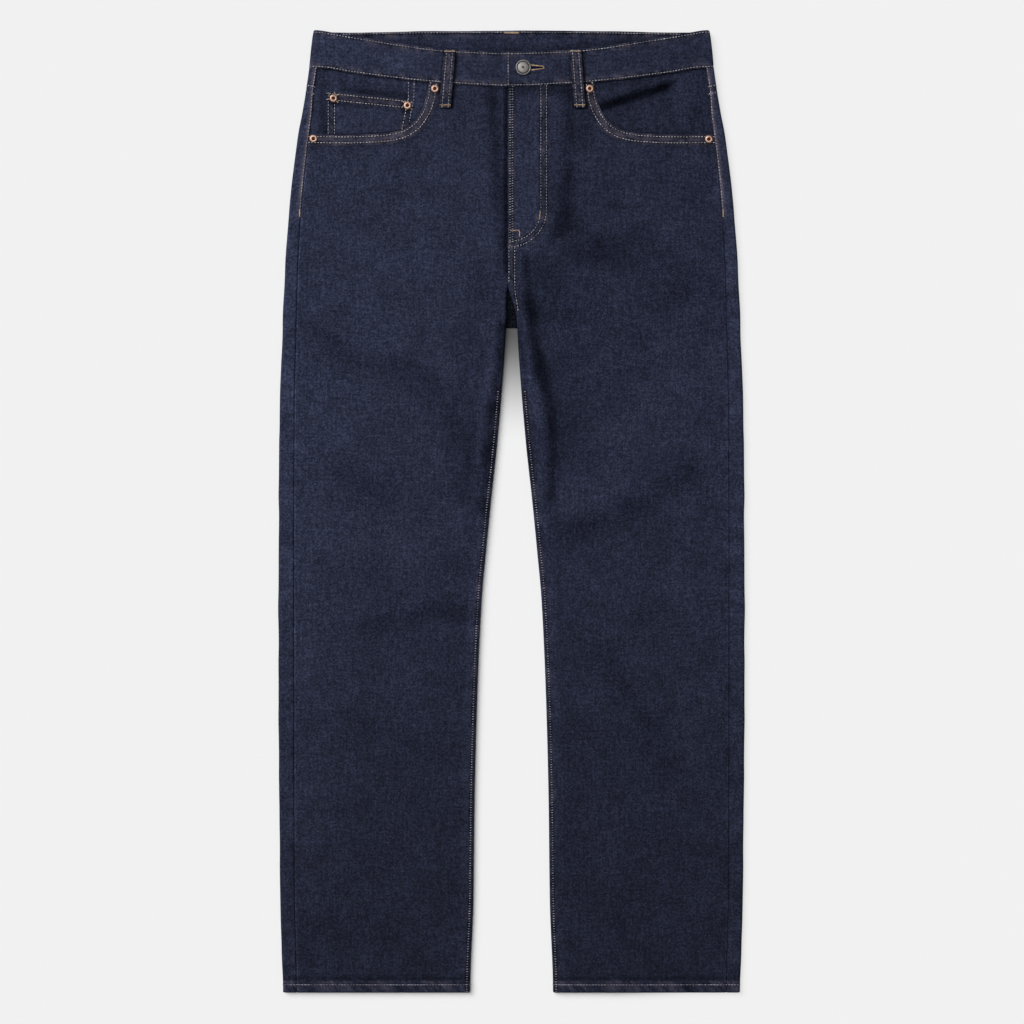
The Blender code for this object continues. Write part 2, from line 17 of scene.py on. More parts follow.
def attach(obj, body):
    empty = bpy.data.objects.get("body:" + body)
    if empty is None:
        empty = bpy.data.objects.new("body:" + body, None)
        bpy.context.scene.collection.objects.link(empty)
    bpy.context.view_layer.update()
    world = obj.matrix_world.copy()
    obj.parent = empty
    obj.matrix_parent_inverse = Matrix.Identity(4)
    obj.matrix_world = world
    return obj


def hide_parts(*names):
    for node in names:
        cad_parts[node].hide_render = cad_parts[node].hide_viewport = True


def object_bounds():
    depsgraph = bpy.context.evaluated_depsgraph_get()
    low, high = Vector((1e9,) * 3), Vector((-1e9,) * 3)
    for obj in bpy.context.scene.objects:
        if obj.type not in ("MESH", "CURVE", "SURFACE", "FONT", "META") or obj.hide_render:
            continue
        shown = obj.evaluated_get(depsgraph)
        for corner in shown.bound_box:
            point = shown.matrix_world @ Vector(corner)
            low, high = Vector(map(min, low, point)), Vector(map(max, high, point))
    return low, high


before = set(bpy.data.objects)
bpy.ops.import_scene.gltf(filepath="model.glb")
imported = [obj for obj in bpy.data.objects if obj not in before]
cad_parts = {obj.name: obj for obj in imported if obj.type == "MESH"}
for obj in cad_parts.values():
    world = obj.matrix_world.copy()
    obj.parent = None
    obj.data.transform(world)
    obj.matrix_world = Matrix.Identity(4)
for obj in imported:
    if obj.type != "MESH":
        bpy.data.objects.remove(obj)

bl_info = {
    "name": "Straight Leg Jeans",
    "version": (1, 0, 0),
    "blender": (4, 5, 0),
    "location": "View3D > Sidebar > Jeans",
    "description": "Builds the cloth, stitching and metal of jeans laid flat",
    "category": "Object",
}

MM = 0.001
CAD_LOW, CAD_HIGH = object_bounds()
HEM_Y = CAD_LOW.y / MM

# ----------------------------------------------------------
# The garment's sizes, as its solids have them.

CLOTH = 1.4
THIN_CLOTH = 1.0
BAND_WALL = 2.0
LOOP_WALL = 1.5
GAP = 0.3
SEAM_SLIT = 0.06
CROWN = 0.35
CROTCH = 763.6
SEAM_CLOSES = 820.0
FLY_EDGE = -4.2
FLY_WIDTH = 41.0
FLY_FOOT = 866.0
FLY_CURVE = 38.0
FLY_RISE = 1.0

Section = namedtuple("Section", "height outer seam_inset thickness")
SECTIONS = [Section(*row) for row in (
    (0, 262.8, 16.2, 5.8), (105, 265.7, 16.8, 6.1), (220, 266.8, 17.4, 6.2), (450, 268.0, 18.3, 6.3),
    (566, 267.5, 17.9, 6.3), (681, 266.2, 17.2, 6.4), (749, 263.6, 16.1, 6.4), (829, 260.5, 15.2, 6.4),
    (891, 255.8, 13.9, 6.4), (935, 252.0, 14.0, 6.5), (990, 244.4, 13.0, 6.9), (1010, 240.4, 11.6, 7.1),
    (1038, 235.6, 9.0, 7.4), (1062, 232.2, 9.4, 7.6), (1083, 230.0, 10.0, 7.6), (1105, 227.5, 10.0, 7.6),
)]

InnerFold = namedtuple("InnerFold", "height reach angle")
INNER_FOLDS = [InnerFold(*row) for row in (
    (0, 47.6, 45), (105, 44.0, 45), (220, 42.6, 45), (335, 39.7, 45), (450, 34.5, 45), (508, 29.3, 45),
    (566, 23.6, 45), (623, 17.3, 42), (681, 12.1, 28), (738, 7.9, -10), (764, 6.4, -28), (783, 5.2, -28),
    (796, 3.0, -12), (808, 0.4, 30), (820, -3.4, 90),
)]

Corner = namedtuple("Corner", "offset height")


def edge_line(*rows):
    """An edge of a piece, as the corners that a smooth curve runs through."""
    return [Corner(*row) for row in rows]


BAND_SEAM = edge_line(
    (0, 1041.0), (60, 1043.5), (110, 1047.5), (145, 1051.5), (182, 1056.5), (222, 1062.3), (240, 1062.3),
)
BAND_TOP = edge_line(
    (0, 1079.5), (60, 1081.2), (82, 1082.8), (130, 1089.0), (165, 1095.0), (203, 1101.2), (225, 1104.2),
    (240, 1104.2),
)
BACK_BAND_TOP = edge_line((0, 1104.7), (100, 1104.0), (200, 1102.4), (240, 1103.2))
SCOOP = edge_line(
    (95, 1045.0), (98, 1027.0), (104, 1011.0), (114, 998.0), (128, 990.0), (150, 986.3), (190, 984.9),
    (240, 985.4),
)
BACK_BAND_SEAM = 1062.3
FRONT_TOP = BAND_SEAM[0].height
YOKE_MIDDLE = 992.0
YOKE_SIDE = 1037.0
YOKE_REACH = 235.6

# Above these heights the rows of a front's and a back's mesh bend to follow its upper edge.
FRONT_BEND = 895.0
BACK_BEND = 978.0

POCKET_TOP_INNER = Corner(42, 958)
POCKET_TOP_OUTER = Corner(184, 970)
POCKET_FOOT_INNER = Corner(50, 828)
POCKET_FOOT_OUTER = Corner(176, 834)
POCKET_POINT = Corner(112, 808)
POCKET_LIFT = 1.6

COIN_TOP_INNER = Corner(115, 1024.8)
COIN_TOP_OUTER = Corner(211.5, 1035.0)

BAND_FRONT = 8.4
BAND_BACK = LOOP_WALL + GAP
BAND_LAP_RISE = 0.8
BAND_LAP_DROP = 1.8
BAND_LEFT_END = -6.5
BAND_RIGHT_END = 30.0
BAND_FOLD_X = 221.0

BUTTON = Corner(13.5, 1061.6)
BUTTON_RADIUS = 8.9
EYELET_RADIUS = 2.8
BUTTONHOLE_END = 36.0
RIVET_RADIUS = 4.75

LOOP_WIDTH = 14.3
BACK_LOOP_WIDTH = 16.5
LOOP_LENGTH = 66.0
LOOP_INSET = 3.7
FRONT_LOOPS = {"left": (73.2, 78.4), "right": (-70.7, -76.2)}
BACK_LOOPS = {"back": 0.0, "back_left": 160.0, "back_right": -160.0}

# Where the stitched rows run.
FLY_TURN = 899.0
SCOOP_INSETS = (2.6, 9.4)
INSEAM_TOP = 690.0
HEM_STITCH = 9.2
HEM_DEPTH = 13.5
BAND_TOP_STITCH = 2.5
BAND_LOW_STITCH = 2.0
BAND_END_STITCH = 2.6
BAND_OVERHANG = 1.3
COIN_HEM_ROWS = (2.4, 9.6)
COIN_SIDE_ROWS = (
    ((-210.3, 1033.0), (-210.3, 987.0)),
    ((-203.2, 1033.0), (-203.2, 987.0)),
    ((-118.9, 1024.0), (-125.6, 992.0)),
)
COIN_INNER_ROWS = (
    ((-118.0, 1048.0), (-118.4, 1026.0)),
    ((-111.5, 1046.5), (-112.2, 1026.0), (-118.0, 997.0)),
)

ZIP_FOOT = FLY_FOOT + 22.0
ZIP_TOP = 1038.0

# Each rivet, its x, its height and the cloth it is set in.
RIVETS = (
    ("rivet_band_left", 89.9, 1037.5, "front_cloth_left"),
    ("rivet_band_right", -87.7, 1037.4, "front_cloth_right"),
    ("rivet_side_left", 226.6, 979.6, "front_cloth_left"),
    ("rivet_side_right", -227.2, 980.3, "front_cloth_right"),
    ("rivet_coin_inner", -119.3, 1018.3, "coin_cloth"),
    ("rivet_coin_outer", -204.2, 1026.6, "coin_cloth"),
)

# ----------------------------------------------------------
# How the cloth lies. A fold is a soft trough along its points, or a ridge where its depth is negative.
# Its last value is shade painted on the cloth along it, or a painted highlight where positive, as a natural
# logarithm.

Fold = namedtuple("Fold", "points width depth tone")
FRONT_FOLDS = [Fold(*row) for row in (
    # Down the wearer's left thigh from the crotch, with the ridge beside it.
    (((16.4, 842), (23.6, 770), (34.5, 711), (45.4, 668), (49, 617), (45.4, 568)), 6.5, 1.5, -1.05),
    (((11.5, 835), (16.5, 772), (26, 705), (35.5, 645), (39, 590)), 4.5, -0.4, 0.06),
    # Across that thigh, with the fuller cloth above.
    (((42, 519), (85, 530), (128.7, 552), (166, 568), (206, 598)), 15.0, 1.4, -0.55),
    (((62, 566), (112, 590), (160, 628)), 24.0, -0.6, 0.12),
    (((34, 842), (85, 848), (150.5, 872)), 17.0, 0.8, -0.36),
    (((71, 777), (194, 791)), 13.0, 0.4, -0.16),
    # The wearer's left knee and shin.
    (((112, 392), (138, 335), (187, 262)), 13.0, 0.8, -0.3),
    (((126, 88), (122, 58)), 12.0, 0.3, -0.2),
    # Across the wearer's right thigh, then down towards the inseam.
    (((-223, 755), (-169, 722), (-118, 715), (-96, 697), (-70.7, 668), (-53, 617), (-49, 572)),
     13.0, 1.1, -0.3),
    (((-20, 742), (-30, 680), (-38, 612)), 4.5, -0.5, 0.22),
    (((-31, 745), (-39, 700), (-48, 598)), 6.0, 0.9, -0.3),
    (((-227, 617), (-169, 581), (-139.6, 570)), 14.0, 0.5, -0.26),
    # The wearer's right knee and shin.
    (((-160, 420), (-138, 428), (-100, 436), (-62, 436)), 10.0, 1.0, -0.55),
    (((-140, 430), (-138, 398)), 9.0, 0.3, -0.12),
    (((-227, 327), (-160, 305), (-105, 274)), 18.0, 0.7, -0.14),
    (((-147, 88), (-147, 58)), 13.0, 0.3, -0.13),
    # The wearer's right hip, under the band.
    (((-129, 950), (-129, 916)), 9.0, 0.3, -0.18),
    (((-60, 1031), (-34, 1029), (-20, 1020)), 6.0, 0.4, -0.3),
    # Down both sides of the fly, which stands up between them.
    (((-22, 1036), (-18, 985), (-13, 905), (-9, 840)), 7.0, 0.9, -0.72),
    (((66, 1038), (67, 985), (66, 935), (60, 885), (46, 862)), 8.0, 0.9, -0.68),
    (((82, 1022), (86, 970)), 13.0, 0.3, -0.36),
    (((222, 880), (222, 820)), 18.0, 0.0, -0.15),
    # Painted shade where the cloth turns away from the light, and painted highlight where it turns towards
    # it.
    (((50, 825), (120, 805), (190, 800)), 56.0, 0.0, -0.28),
    (((84, 926), (225, 935)), 46.0, 0.0, -0.26),
    (((40, 815), (60, 740), (72, 680), (60, 620)), 24.0, 0.0, -0.34),
    (((-9, 765), (-15, 710), (-20, 672)), 7.0, 0.3, -1.0),
    (((-20, 672), (-27, 600), (-31, 560)), 8.0, 0.3, -1.4),
    (((7, 760), (10, 720), (13, 682)), 5.0, 0.0, -0.45),
    (((13, 682), (17, 640), (24, 590)), 7.0, 0.0, -1.0),
    (((-38, 830), (-48, 760), (-52, 700)), 12.0, 0.0, -0.2),
    (((100, 690), (110, 665)), 14.0, 0.2, -0.2),
    (((-230, 650), (-238, 400), (-238, 150)), 34.0, 0.0, 0.2),
    (((-58, 1003), (60, 1003)), 34.0, 0.0, -0.14),
    (((-4, 852), (28, 868)), 20.0, 0.0, 0.32),
    (((-28, 800), (-22, 780)), 12.0, 0.0, -0.15),
    (((105, 868), (130, 862)), 26.0, 0.0, -0.16),
    (((100, 735), (128, 715)), 26.0, 0.0, -0.2),
    (((45, 660), (95, 590)), 24.0, 0.0, -0.12),
    (((-165, 522), (-145, 516)), 22.0, 0.0, 0.22),
    (((-255, 660), (-200, 655)), 26.0, 0.0, 0.1),
    (((-255, 385), (-150, 375), (-150, 310)), 34.0, 0.0, 0.1),
    (((215, 420), (225, 250), (225, 120)), 34.0, 0.0, 0.08),
    (((-125, 612), (-100, 608)), 11.0, 0.2, -0.2),
)]
FACING_FOLDS = [Fold(*row) for row in (
    (((100, 1015), (122, 1023), (150, 1032), (178, 1040)), 4.8, 1.3, -1.9),
    (((170, 1041), (188, 1045)), 4.2, 0.5, -0.6),
    (((212, 1010), (206, 992)), 6.0, 0.4, -0.3),
    (((-206, 1049), (-160, 1042), (-113, 1034)), 4.0, 0.3, -0.2),
    (((-218, 1042), (-216, 1010), (-213, 988)), 5.0, 0.5, -0.8),
    (((-192, 1037), (-122, 1029)), 4.0, 0.2, -0.9),
)]

# The floor, in metres, and the strength of the glow painted on it, as bright as the lit floor where nothing
# shades it.
FLOOR_REACH = 40.0
FLOOR_DROP = -0.0003
PAINTED_FLOOR_GLOW = 0.983

# Where the camera stands, sideways and up the garment, in millimetres from its middle.
CAMERA_X = 0.55
CAMERA_Y = -0.4
FULL_FRAME = 36.0

# Wearer's left and right, each with the sign of its x.
SIDES = {"left": 1.0, "right": -1.0}

# How many rows and columns of points each cloth has.
FRONT_ROWS = 372
FRONT_COLUMNS = 98
FOLD_COLUMNS = 9
BACK_ROWS = 300
BACK_COLUMNS = 40
OUTER_FOLD_COLUMNS = 13
STRIP_COLUMNS = 11


def linear(code):
    """Linear red, green, blue and alpha of an sRGB hex colour."""
    values = [int(code[i:i + 2], 16) / 255.0 for i in (1, 3, 5)]
    return (*[v / 12.92 if v <= 0.04045 else ((v + 0.055) / 1.055) ** 2.4 for v in values], 1.0)


# ----------------------------------------------------------
# Curves and noise on arrays of points.

def smoothstep(low, high, value):
    t = np.clip((value - low) / (high - low), 0.0, 1.0)
    return t * t * (3.0 - 2.0 * t)


def mix(a, b, t):
    return a + (b - a) * t


def bell(distance, width):
    """1 at no distance, and falling smoothly to nothing at about twice the width."""
    return np.exp(-((distance / width) ** 2))


def read(table, keys, column="height"):
    """A smooth curve through one column of a table, whose first column is the key."""
    x = np.array([row[0] for row in table], float)
    y = np.array([getattr(row, column) for row in table], float)
    step = np.diff(x)
    rise = np.diff(y) / step
    slope = np.zeros(len(x))
    product = rise[:-1] * rise[1:]
    total = np.where(product > 0.0, rise[:-1] + rise[1:], 1.0)
    slope[1:-1] = np.where(product > 0.0, 2.0 * product / total, 0.0)
    slope[-1] = rise[-1]
    k = np.clip(keys, x[0], x[-1])
    i = np.clip(np.searchsorted(x, k, side="right") - 1, 0, len(step) - 1)
    t = (k - x[i]) / step[i]
    a = slope[i] * step[i]
    b = slope[i + 1] * step[i]
    change = y[i + 1] - y[i]
    return y[i] + t * (a + t * (3.0 * change - 2.0 * a - b + t * (a + b - 2.0 * change)))


def graded(low, high, count, *peaks):
    """count numbers from low to high, closer together round each peak of (place, width, strength)."""
    fine = np.linspace(low, high, 6000)
    density = np.ones_like(fine)
    for place_of_peak, width, strength in peaks:
        density += strength * bell(fine - place_of_peak, width)
    share = np.concatenate(([0.0], np.cumsum((density[1:] + density[:-1]) / 2.0)))
    return np.interp(np.linspace(0.0, share[-1], count), share, fine)


def uneven(x, y, cells, seed):
    """Smooth noise from -1 to 1, whose bumps are about cells = (across, along) millimetres apart."""
    size = 97
    lattice = np.random.default_rng(seed).uniform(-1.0, 1.0, (size, size))
    u = np.asarray(x, float) / cells[0]
    v = np.asarray(y, float) / cells[1]
    u, v = np.broadcast_arrays(u + 0.31 * v * cells[1] / cells[0], v)
    i = np.floor(u).astype(int)
    j = np.floor(v).astype(int)
    s = u - i
    t = v - j
    s = s ** 3 * (s * (6.0 * s - 15.0) + 10.0)
    t = t ** 3 * (t * (6.0 * t - 15.0) + 10.0)
    low = mix(lattice[i % size, j % size], lattice[(i + 1) % size, j % size], s)
    high = mix(lattice[i % size, (j + 1) % size], lattice[(i + 1) % size, (j + 1) % size], s)
    return mix(low, high, t)


def round_over(distance, reach, depth):
    """How far an edge has rolled down at a distance from it: a quarter round."""
    t = np.clip(1.0 - distance / reach, 0.0, 1.0)
    return depth * (1.0 - np.sqrt(1.0 - t * t))


def resample(line, step):
    """The same line with points about step apart."""
    line = np.asarray(line, float)
    lengths = np.concatenate(([0.0], np.cumsum(np.linalg.norm(np.diff(line, axis=0), axis=1))))
    places = np.linspace(0.0, lengths[-1], max(int(lengths[-1] / step), 1) + 1)
    return np.stack([np.interp(places, lengths, line[:, k]) for k in range(line.shape[1])], axis=1)


def beside(line, distance):
    """A line moved to its left, seen along it, by the distance."""
    along = np.gradient(line, axis=0)
    along /= np.maximum(np.linalg.norm(along, axis=1, keepdims=True), 1e-9)
    return line + distance * np.stack([-along[:, 1], along[:, 0]], axis=1)


def nearest(x, h, line):
    """Each point's distance to a line, and how far along it that is."""
    best = np.full(np.shape(x), 1e9)
    along = np.zeros(np.shape(x))
    before = 0.0
    for (x1, h1), (x2, h2) in zip(line[:-1], line[1:]):
        dx, dh = x2 - x1, h2 - h1
        length = math.hypot(dx, dh)
        t = np.clip(((x - x1) * dx + (h - h1) * dh) / length ** 2, 0.0, 1.0)
        distance = np.hypot(x - x1 - t * dx, h - h1 - t * dh)
        closer = distance < best
        best = np.where(closer, distance, best)
        along = np.where(closer, before + t * length, along)
        before += length
    return best, along


def folded(x, h, folds):
    """Depth of all the folds at each point, and the shade and highlight painted along them."""
    depth = np.zeros(np.shape(x))
    tone = np.zeros(np.shape(x))
    for fold in folds:
        line = np.array(fold.points, float)
        low = line.min(axis=0) - 3.0 * fold.width
        high = line.max(axis=0) + 3.0 * fold.width
        near = (x > low[0]) & (x < high[0]) & (h > low[1]) & (h < high[1])
        distance, _ = nearest(x[near], h[near], fold.points)
        distance = distance + 0.4 * fold.width * uneven(x[near], h[near], (34.0, 34.0), 5)
        strength = bell(distance, fold.width)
        strength = strength * (0.8 + 0.35 * uneven(x[near], h[near], (26.0, 26.0), 6))
        depth[near] += fold.depth * strength
        tone[near] += fold.tone * strength
    return depth, tone


# ----------------------------------------------------------
# The garment's form.

def thickness(height):
    return read(SECTIONS, height, "thickness")


def outer(height):
    return read(SECTIONS, height, "outer") + 0.35 * uneven(height, 0.0, (34.0, 1.0), 11)


def outseam(height):
    return read(SECTIONS, height, "outer") - read(SECTIONS, height, "seam_inset")


def side_lift(height):
    return BAND_BACK * smoothstep(985.0, 1030.0, height)


def radius(height):
    """Radius of the soft folds down both edges of a leg, measured to the outer face."""
    return (thickness(height) - side_lift(height)) / 2.0


def fold_centre(height):
    return outer(height) - radius(height)


def front_seam(side, height):
    """Offset of the seam between the two fronts, which runs down the fly's edge to the crotch."""
    return side * FLY_EDGE * smoothstep(775.0, 812.0, height)


def inner_centre(side, height):
    """Offset of the centre of the inner fold, where the front's top face starts."""
    folded = front_seam(side, height) + read(INNER_FOLDS, height, "reach") + radius(height)
    joined = front_seam(side, height) + SEAM_SLIT
    return np.where(np.asarray(height) >= SEAM_CLOSES, joined, folded)


def under(offset, height):
    """Outer face of the back: on the surface, but lifted over the back pockets and the belt loops."""
    across = offset / fold_centre(height)
    window = smoothstep(0.09, 0.135, across) - smoothstep(0.775, 0.825, across)
    window = window * (smoothstep(782.0, 795.0, height) - smoothstep(980.0, 1003.0, height))
    return np.maximum(POCKET_LIFT * window, side_lift(height))


def fly_width(height):
    """How far the fly's facing reaches, which ends in a curve at its foot."""
    fall = np.clip((FLY_FOOT + FLY_CURVE - height) / FLY_CURVE, 0.0, 1.0)
    return FLY_WIDTH * np.sqrt(1.0 - fall * fall)


def fly_shape(offset, height):
    """1 over the fly's facing, and 0 past it."""
    width = fly_width(height)
    return 1.0 - smoothstep(width - 1.0, width + 5.0, offset)


def seam_pucker(height, distance):
    """Small ripples that stitching draws into the cloth beside the outseam, shared by both its sides."""
    ripple = uneven(height, 0.0, (6.5, 1.0), 21) + 0.6 * uneven(height, 0.0, (17.0, 1.0), 22)
    return 0.24 * ripple * bell(distance, 5.0)


def front_skin(side, offset, height):
    """Outer face of a front before its stitching: crown, creases, seams and the fly's rise."""
    x = side * offset
    start = inner_centre(side, height)
    end = fold_centre(height)
    across = np.clip((offset - start) / (end - start), 0.0, 1.0)
    clear = smoothstep(0.0, 12.0, np.minimum(offset - start, end - offset))
    z = thickness(height) + CROWN * np.sin(math.pi * across)
    z = z - clear * folded(*np.broadcast_arrays(x, height), FRONT_FOLDS)[0]
    z += clear * (0.35 * uneven(x, height, (62.0, 85.0), 31) + 0.16 * uneven(x, height, (23.0, 30.0), 32))
    z += 0.05 * clear * uneven(x, height, (8.0, 11.0), 33)
    if side > 0.0:
        z += FLY_RISE * fly_shape(offset, height) * smoothstep(812.0, 835.0, height)
    return z


def front_top(offset):
    """Upper edge of a front: the band seam, then the scoop of the hand pocket."""
    seam = read(BAND_SEAM, np.maximum(offset, 0.0)) - SEAM_SLIT
    return np.where(offset < SCOOP[0].offset, seam, np.minimum(seam, read(SCOOP, offset)))


def yoke_seam(offset):
    return mix(YOKE_MIDDLE, YOKE_SIDE, np.minimum(offset / YOKE_REACH, 1.0))


def level_height(level, bend, top_level, top):
    """Height of a row: level below the bend, then stretched to follow the upper edge."""
    return np.where(level <= bend, level, mix(bend, top, (level - bend) / (top_level - bend)))


def place(x, height, z):
    """Points in millimetres in the model's frame."""
    return np.stack(np.broadcast_arrays(x, HEM_Y + height, z), axis=-1).astype(float)


# ----------------------------------------------------------
# Rows of stitches, as lines of (x, height) on the front.

def scoop_edge(side):
    """The pocket opening's edge, from the waistband down and out to the side."""
    steep = np.linspace(SCOOP[0].offset, SCOOP[3].offset, 60)
    shallow = np.linspace(SCOOP[3].offset, outseam(985.0), 60)[1:]
    offset = np.concatenate((steep, shallow))
    return np.stack([side * offset, read(SCOOP, offset)], axis=1)


def scoop_row(side, inset):
    line = resample(scoop_edge(side), 2.0)
    return beside(line, -side * inset)


def fly_edge_row(inset, low, high):
    height = np.linspace(low, high, 60)
    return np.stack([front_seam(1.0, height) + inset, height], axis=1)


def fly_curve_row(start_x, reach, fall):
    """A stitched row that runs down the fly and turns through a quarter oval to its edge."""
    turn = np.linspace(0.0, math.pi / 2.0, 24)
    curve = np.stack([start_x + reach * np.cos(turn), FLY_TURN - fall * np.sin(turn)], axis=1)
    straight = np.stack([np.full(20, start_x + reach), np.linspace(FRONT_TOP, FLY_TURN + 2.0, 20)], axis=1)
    return np.concatenate((straight, curve))


def inseam_row(side, low, high):
    height = np.linspace(low, high, 90)
    return np.stack([side * (inner_centre(side, height) + 0.9), height], axis=1)


def front_rows(side):
    """The stitched rows of the fly, which only the wearer's left front has."""
    rows = []
    if side > 0.0:
        rows.append(fly_curve_row(-1.6, 35.3, 36.5))
        rows.append(fly_curve_row(-2.8, 42.9, 43.0))
        rows.append(fly_edge_row(1.3, 817.0, 855.0))
        rows.append(fly_edge_row(8.0, 784.0, 855.0))
    return rows


def scoop_rows(side):
    return [scoop_row(side, inset) for inset in SCOOP_INSETS]


def seam_rows(side):
    """The rows that bind a front's edges, whose thread crosses the seam in short bars."""
    rows = [inseam_row(side, 0.0, INSEAM_TOP)]
    if side > 0.0:
        rows.append(fly_edge_row(2.6, 858.0, 1040.0))
        rows.append(fly_edge_row(5.3, 862.0, 1040.0))
    return rows


def drawn_in(x, height, lines, reach=3.0):
    """How rows of stitches shape the cloth, the shade painted over their puckers and trenches, and how rubbed
    it is along them.
    """
    dz = np.zeros(np.shape(x))
    tone = np.zeros(np.shape(x))
    rub = np.zeros(np.shape(x))
    for seed, line in enumerate(lines):
        low = line.min(axis=0) - 4.0 * reach
        high = line.max(axis=0) + 4.0 * reach
        near = (x > low[0]) & (x < high[0]) & (height > low[1]) & (height < high[1])
        distance, along = nearest(x[near], height[near], resample(line, 5.0))
        wave = uneven(along, distance, (5.0, 9.0), 40 + seed)
        falloff = bell(distance, reach)
        trench = bell(distance, 0.85)
        dz[near] += 0.2 * wave * falloff - 0.32 * trench
        # Painted shade over the puckers and in the trench of each row.
        tone[near] += 0.3 * wave * falloff - 0.6 * trench - 0.5 * bell(distance, 2.0)
        rub[near] += np.maximum(0.0, 0.04 + 0.22 * wave) * falloff
    return dz, tone, rub


# ----------------------------------------------------------
# Sheets of cloth.

Cloth = namedtuple("Cloth", "points normals height")
LAID = {}


def normals_of(points, flip):
    across = np.gradient(points, axis=1)
    up = np.gradient(points, axis=0)
    normal = np.cross(across, up)
    normal /= np.maximum(np.linalg.norm(normal, axis=2, keepdims=True), 1e-9)
    return -normal if flip else normal


def grain_of(points, height, anchor):
    """Cloth coordinates in metres: round the garment from the anchor column, and up it."""
    steps = np.hypot(np.diff(points[..., 0], axis=1), np.diff(points[..., 2], axis=1))
    signs = np.sign(np.diff(points[..., 0], axis=1)[:, anchor:anchor + 1])
    along = np.concatenate((np.zeros((len(points), 1)), np.cumsum(steps, axis=1)), axis=1) * signs
    along += points[:, anchor:anchor + 1, 0] - along[:, anchor:anchor + 1]
    return np.stack([along, height], axis=-1) * MM


def turned_hem(points, normals, height, tone, rub):
    """Adds the hem: the cloth turns round at the foot and runs back up inside, a wall and a bit away."""
    wall = 1.25
    first = int(np.argmax(height.min(axis=1) > wall))
    base = points[first]
    inward = -normals[first]
    inward[:, 1] = 0.0
    inward /= np.linalg.norm(inward, axis=1, keepdims=True)
    inside = [(2.0 * wall, up, -up) for up in (HEM_DEPTH, 9.0, 6.0, 3.0)]
    for angle in np.linspace(math.pi, 0.0, 8):
        inside.append((wall * (1.0 - math.cos(angle)), wall - wall * math.sin(angle),
                       wall * math.cos(angle)))
    rows = []
    for depth, up, _ in inside:
        row = base + inward * depth
        row[:, 1] = HEM_Y + up
        rows.append(row)
    grain = np.array([[along] for *_, along in inside]) * np.ones(points.shape[1])
    edge = np.ones((len(rows), 1))
    added = ((rows, points), (grain, height), (edge * tone[first], tone), (edge * rub[first], rub))
    return [np.concatenate((inner, face[first:])) for inner, face in added]


def grid_faces(points):
    """The faces between a grid's rows and columns of points."""
    rows, columns, _ = points.shape
    index = np.arange(rows * columns).reshape(rows, columns)
    quads = np.stack([index[:-1, :-1], index[:-1, 1:], index[1:, 1:], index[1:, :-1]], axis=-1)
    return quads.reshape(-1, 4)


def linked(name, data):
    """A new object in the scene."""
    obj = bpy.data.objects.new(name, data)
    bpy.context.scene.collection.objects.link(obj)
    return obj


def soften(obj, width, segments):
    """Rounds an object's sharp edges."""
    bevel = obj.modifiers.new("Soft edges", "BEVEL")
    bevel.width = width * MM
    bevel.segments = segments
    bevel.limit_method = "ANGLE"
    bevel.angle_limit = math.radians(58.0)


def settle(obj):
    """Turns an object's modifiers into its mesh."""
    depsgraph = bpy.context.evaluated_depsgraph_get()
    mesh = bpy.data.meshes.new_from_object(obj.evaluated_get(depsgraph), preserve_all_data_layers=True,
                                           depsgraph=depsgraph)
    obj.modifiers.clear()
    obj.data = mesh


def cloth_object(name, points, grain, wall, flip, finishes, tone, rub, soft_edge):
    """One piece of cloth: a mesh through its outer face's points, then its wall, then soft edges."""
    quads = grid_faces(points)
    if flip:
        quads = quads[:, ::-1]
    mesh = bpy.data.meshes.new(name)
    mesh.from_pydata((points.reshape(-1, 3) * MM).tolist(), [], quads.tolist())
    uv = mesh.uv_layers.new(name="cloth")
    uv.uv.foreach_set("vector", grain.reshape(-1, 2)[quads.reshape(-1)].astype(np.float32).reshape(-1))
    # Shade and highlight painted on the cloth, with some uneven colour, and how rubbed it is, for its
    # material.
    for label, values in (("tone", tone), ("rub", np.clip(rub, 0.0, 1.0))):
        layer = mesh.attributes.new(label, "FLOAT", "POINT")
        layer.data.foreach_set("value", values.astype(np.float32).reshape(-1))
    for finish in finishes:
        mesh.materials.append(finish)
    mesh.shade_smooth()
    obj = linked(name, mesh)
    solid = obj.modifiers.new("Wall", "SOLIDIFY")
    solid.thickness = wall * MM
    solid.offset = -1.0
    solid.material_offset = len(finishes) - 1
    if soft_edge:
        soften(obj, soft_edge, 2)
    return obj


def lay(name, node, points, height, wall, flip, anchor=0, tone=None, rub=None, hem=False,
        soft_edge=0.4, grain=None, finishes=None):
    """Makes one piece of cloth from its outer face, and says what it is to the frame."""
    normals = normals_of(points, flip)
    tone = np.zeros(points.shape[:2]) if tone is None else tone
    rub = np.zeros(points.shape[:2]) if rub is None else rub
    if hem:
        points, height, tone, rub = turned_hem(points, normals, height, tone, rub)
        normals = normals_of(points, flip)
    if grain is None:
        grain = grain_of(points, height, anchor)
    finishes = finishes or (MATERIALS["denim"], MATERIALS["denim_reverse"])
    obj = cloth_object(name, points, grain, wall, flip, finishes, tone, rub, soft_edge)
    LAID[name] = Cloth(points, normals, height)
    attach(obj, "root")
    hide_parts(node)
    return obj


def hem_marks(x, height):
    """The hem's fullness, roping and rubbing: relief, painted light and shade over the hem, its roping, its
    stitches and just above it, and rub.
    """
    roping = uneven(x + 0.6 * height, height, (3.4, 18.0), 71)
    on_hem = 1.0 - smoothstep(12.5, 14.5, height)
    stitch_line = bell(height - HEM_STITCH, 0.9)
    above = bell(height - 16.5, 2.2)
    relief = on_hem * (0.4 + 0.25 * roping) - 0.35 * stitch_line
    tone = on_hem * (0.12 + 0.5 * roping) - 0.6 * stitch_line - 0.38 * above
    rub = on_hem * np.clip(0.02 + 0.26 * roping, 0.0, 1.0) * smoothstep(1.0, 5.0, height)
    return relief, tone, rub


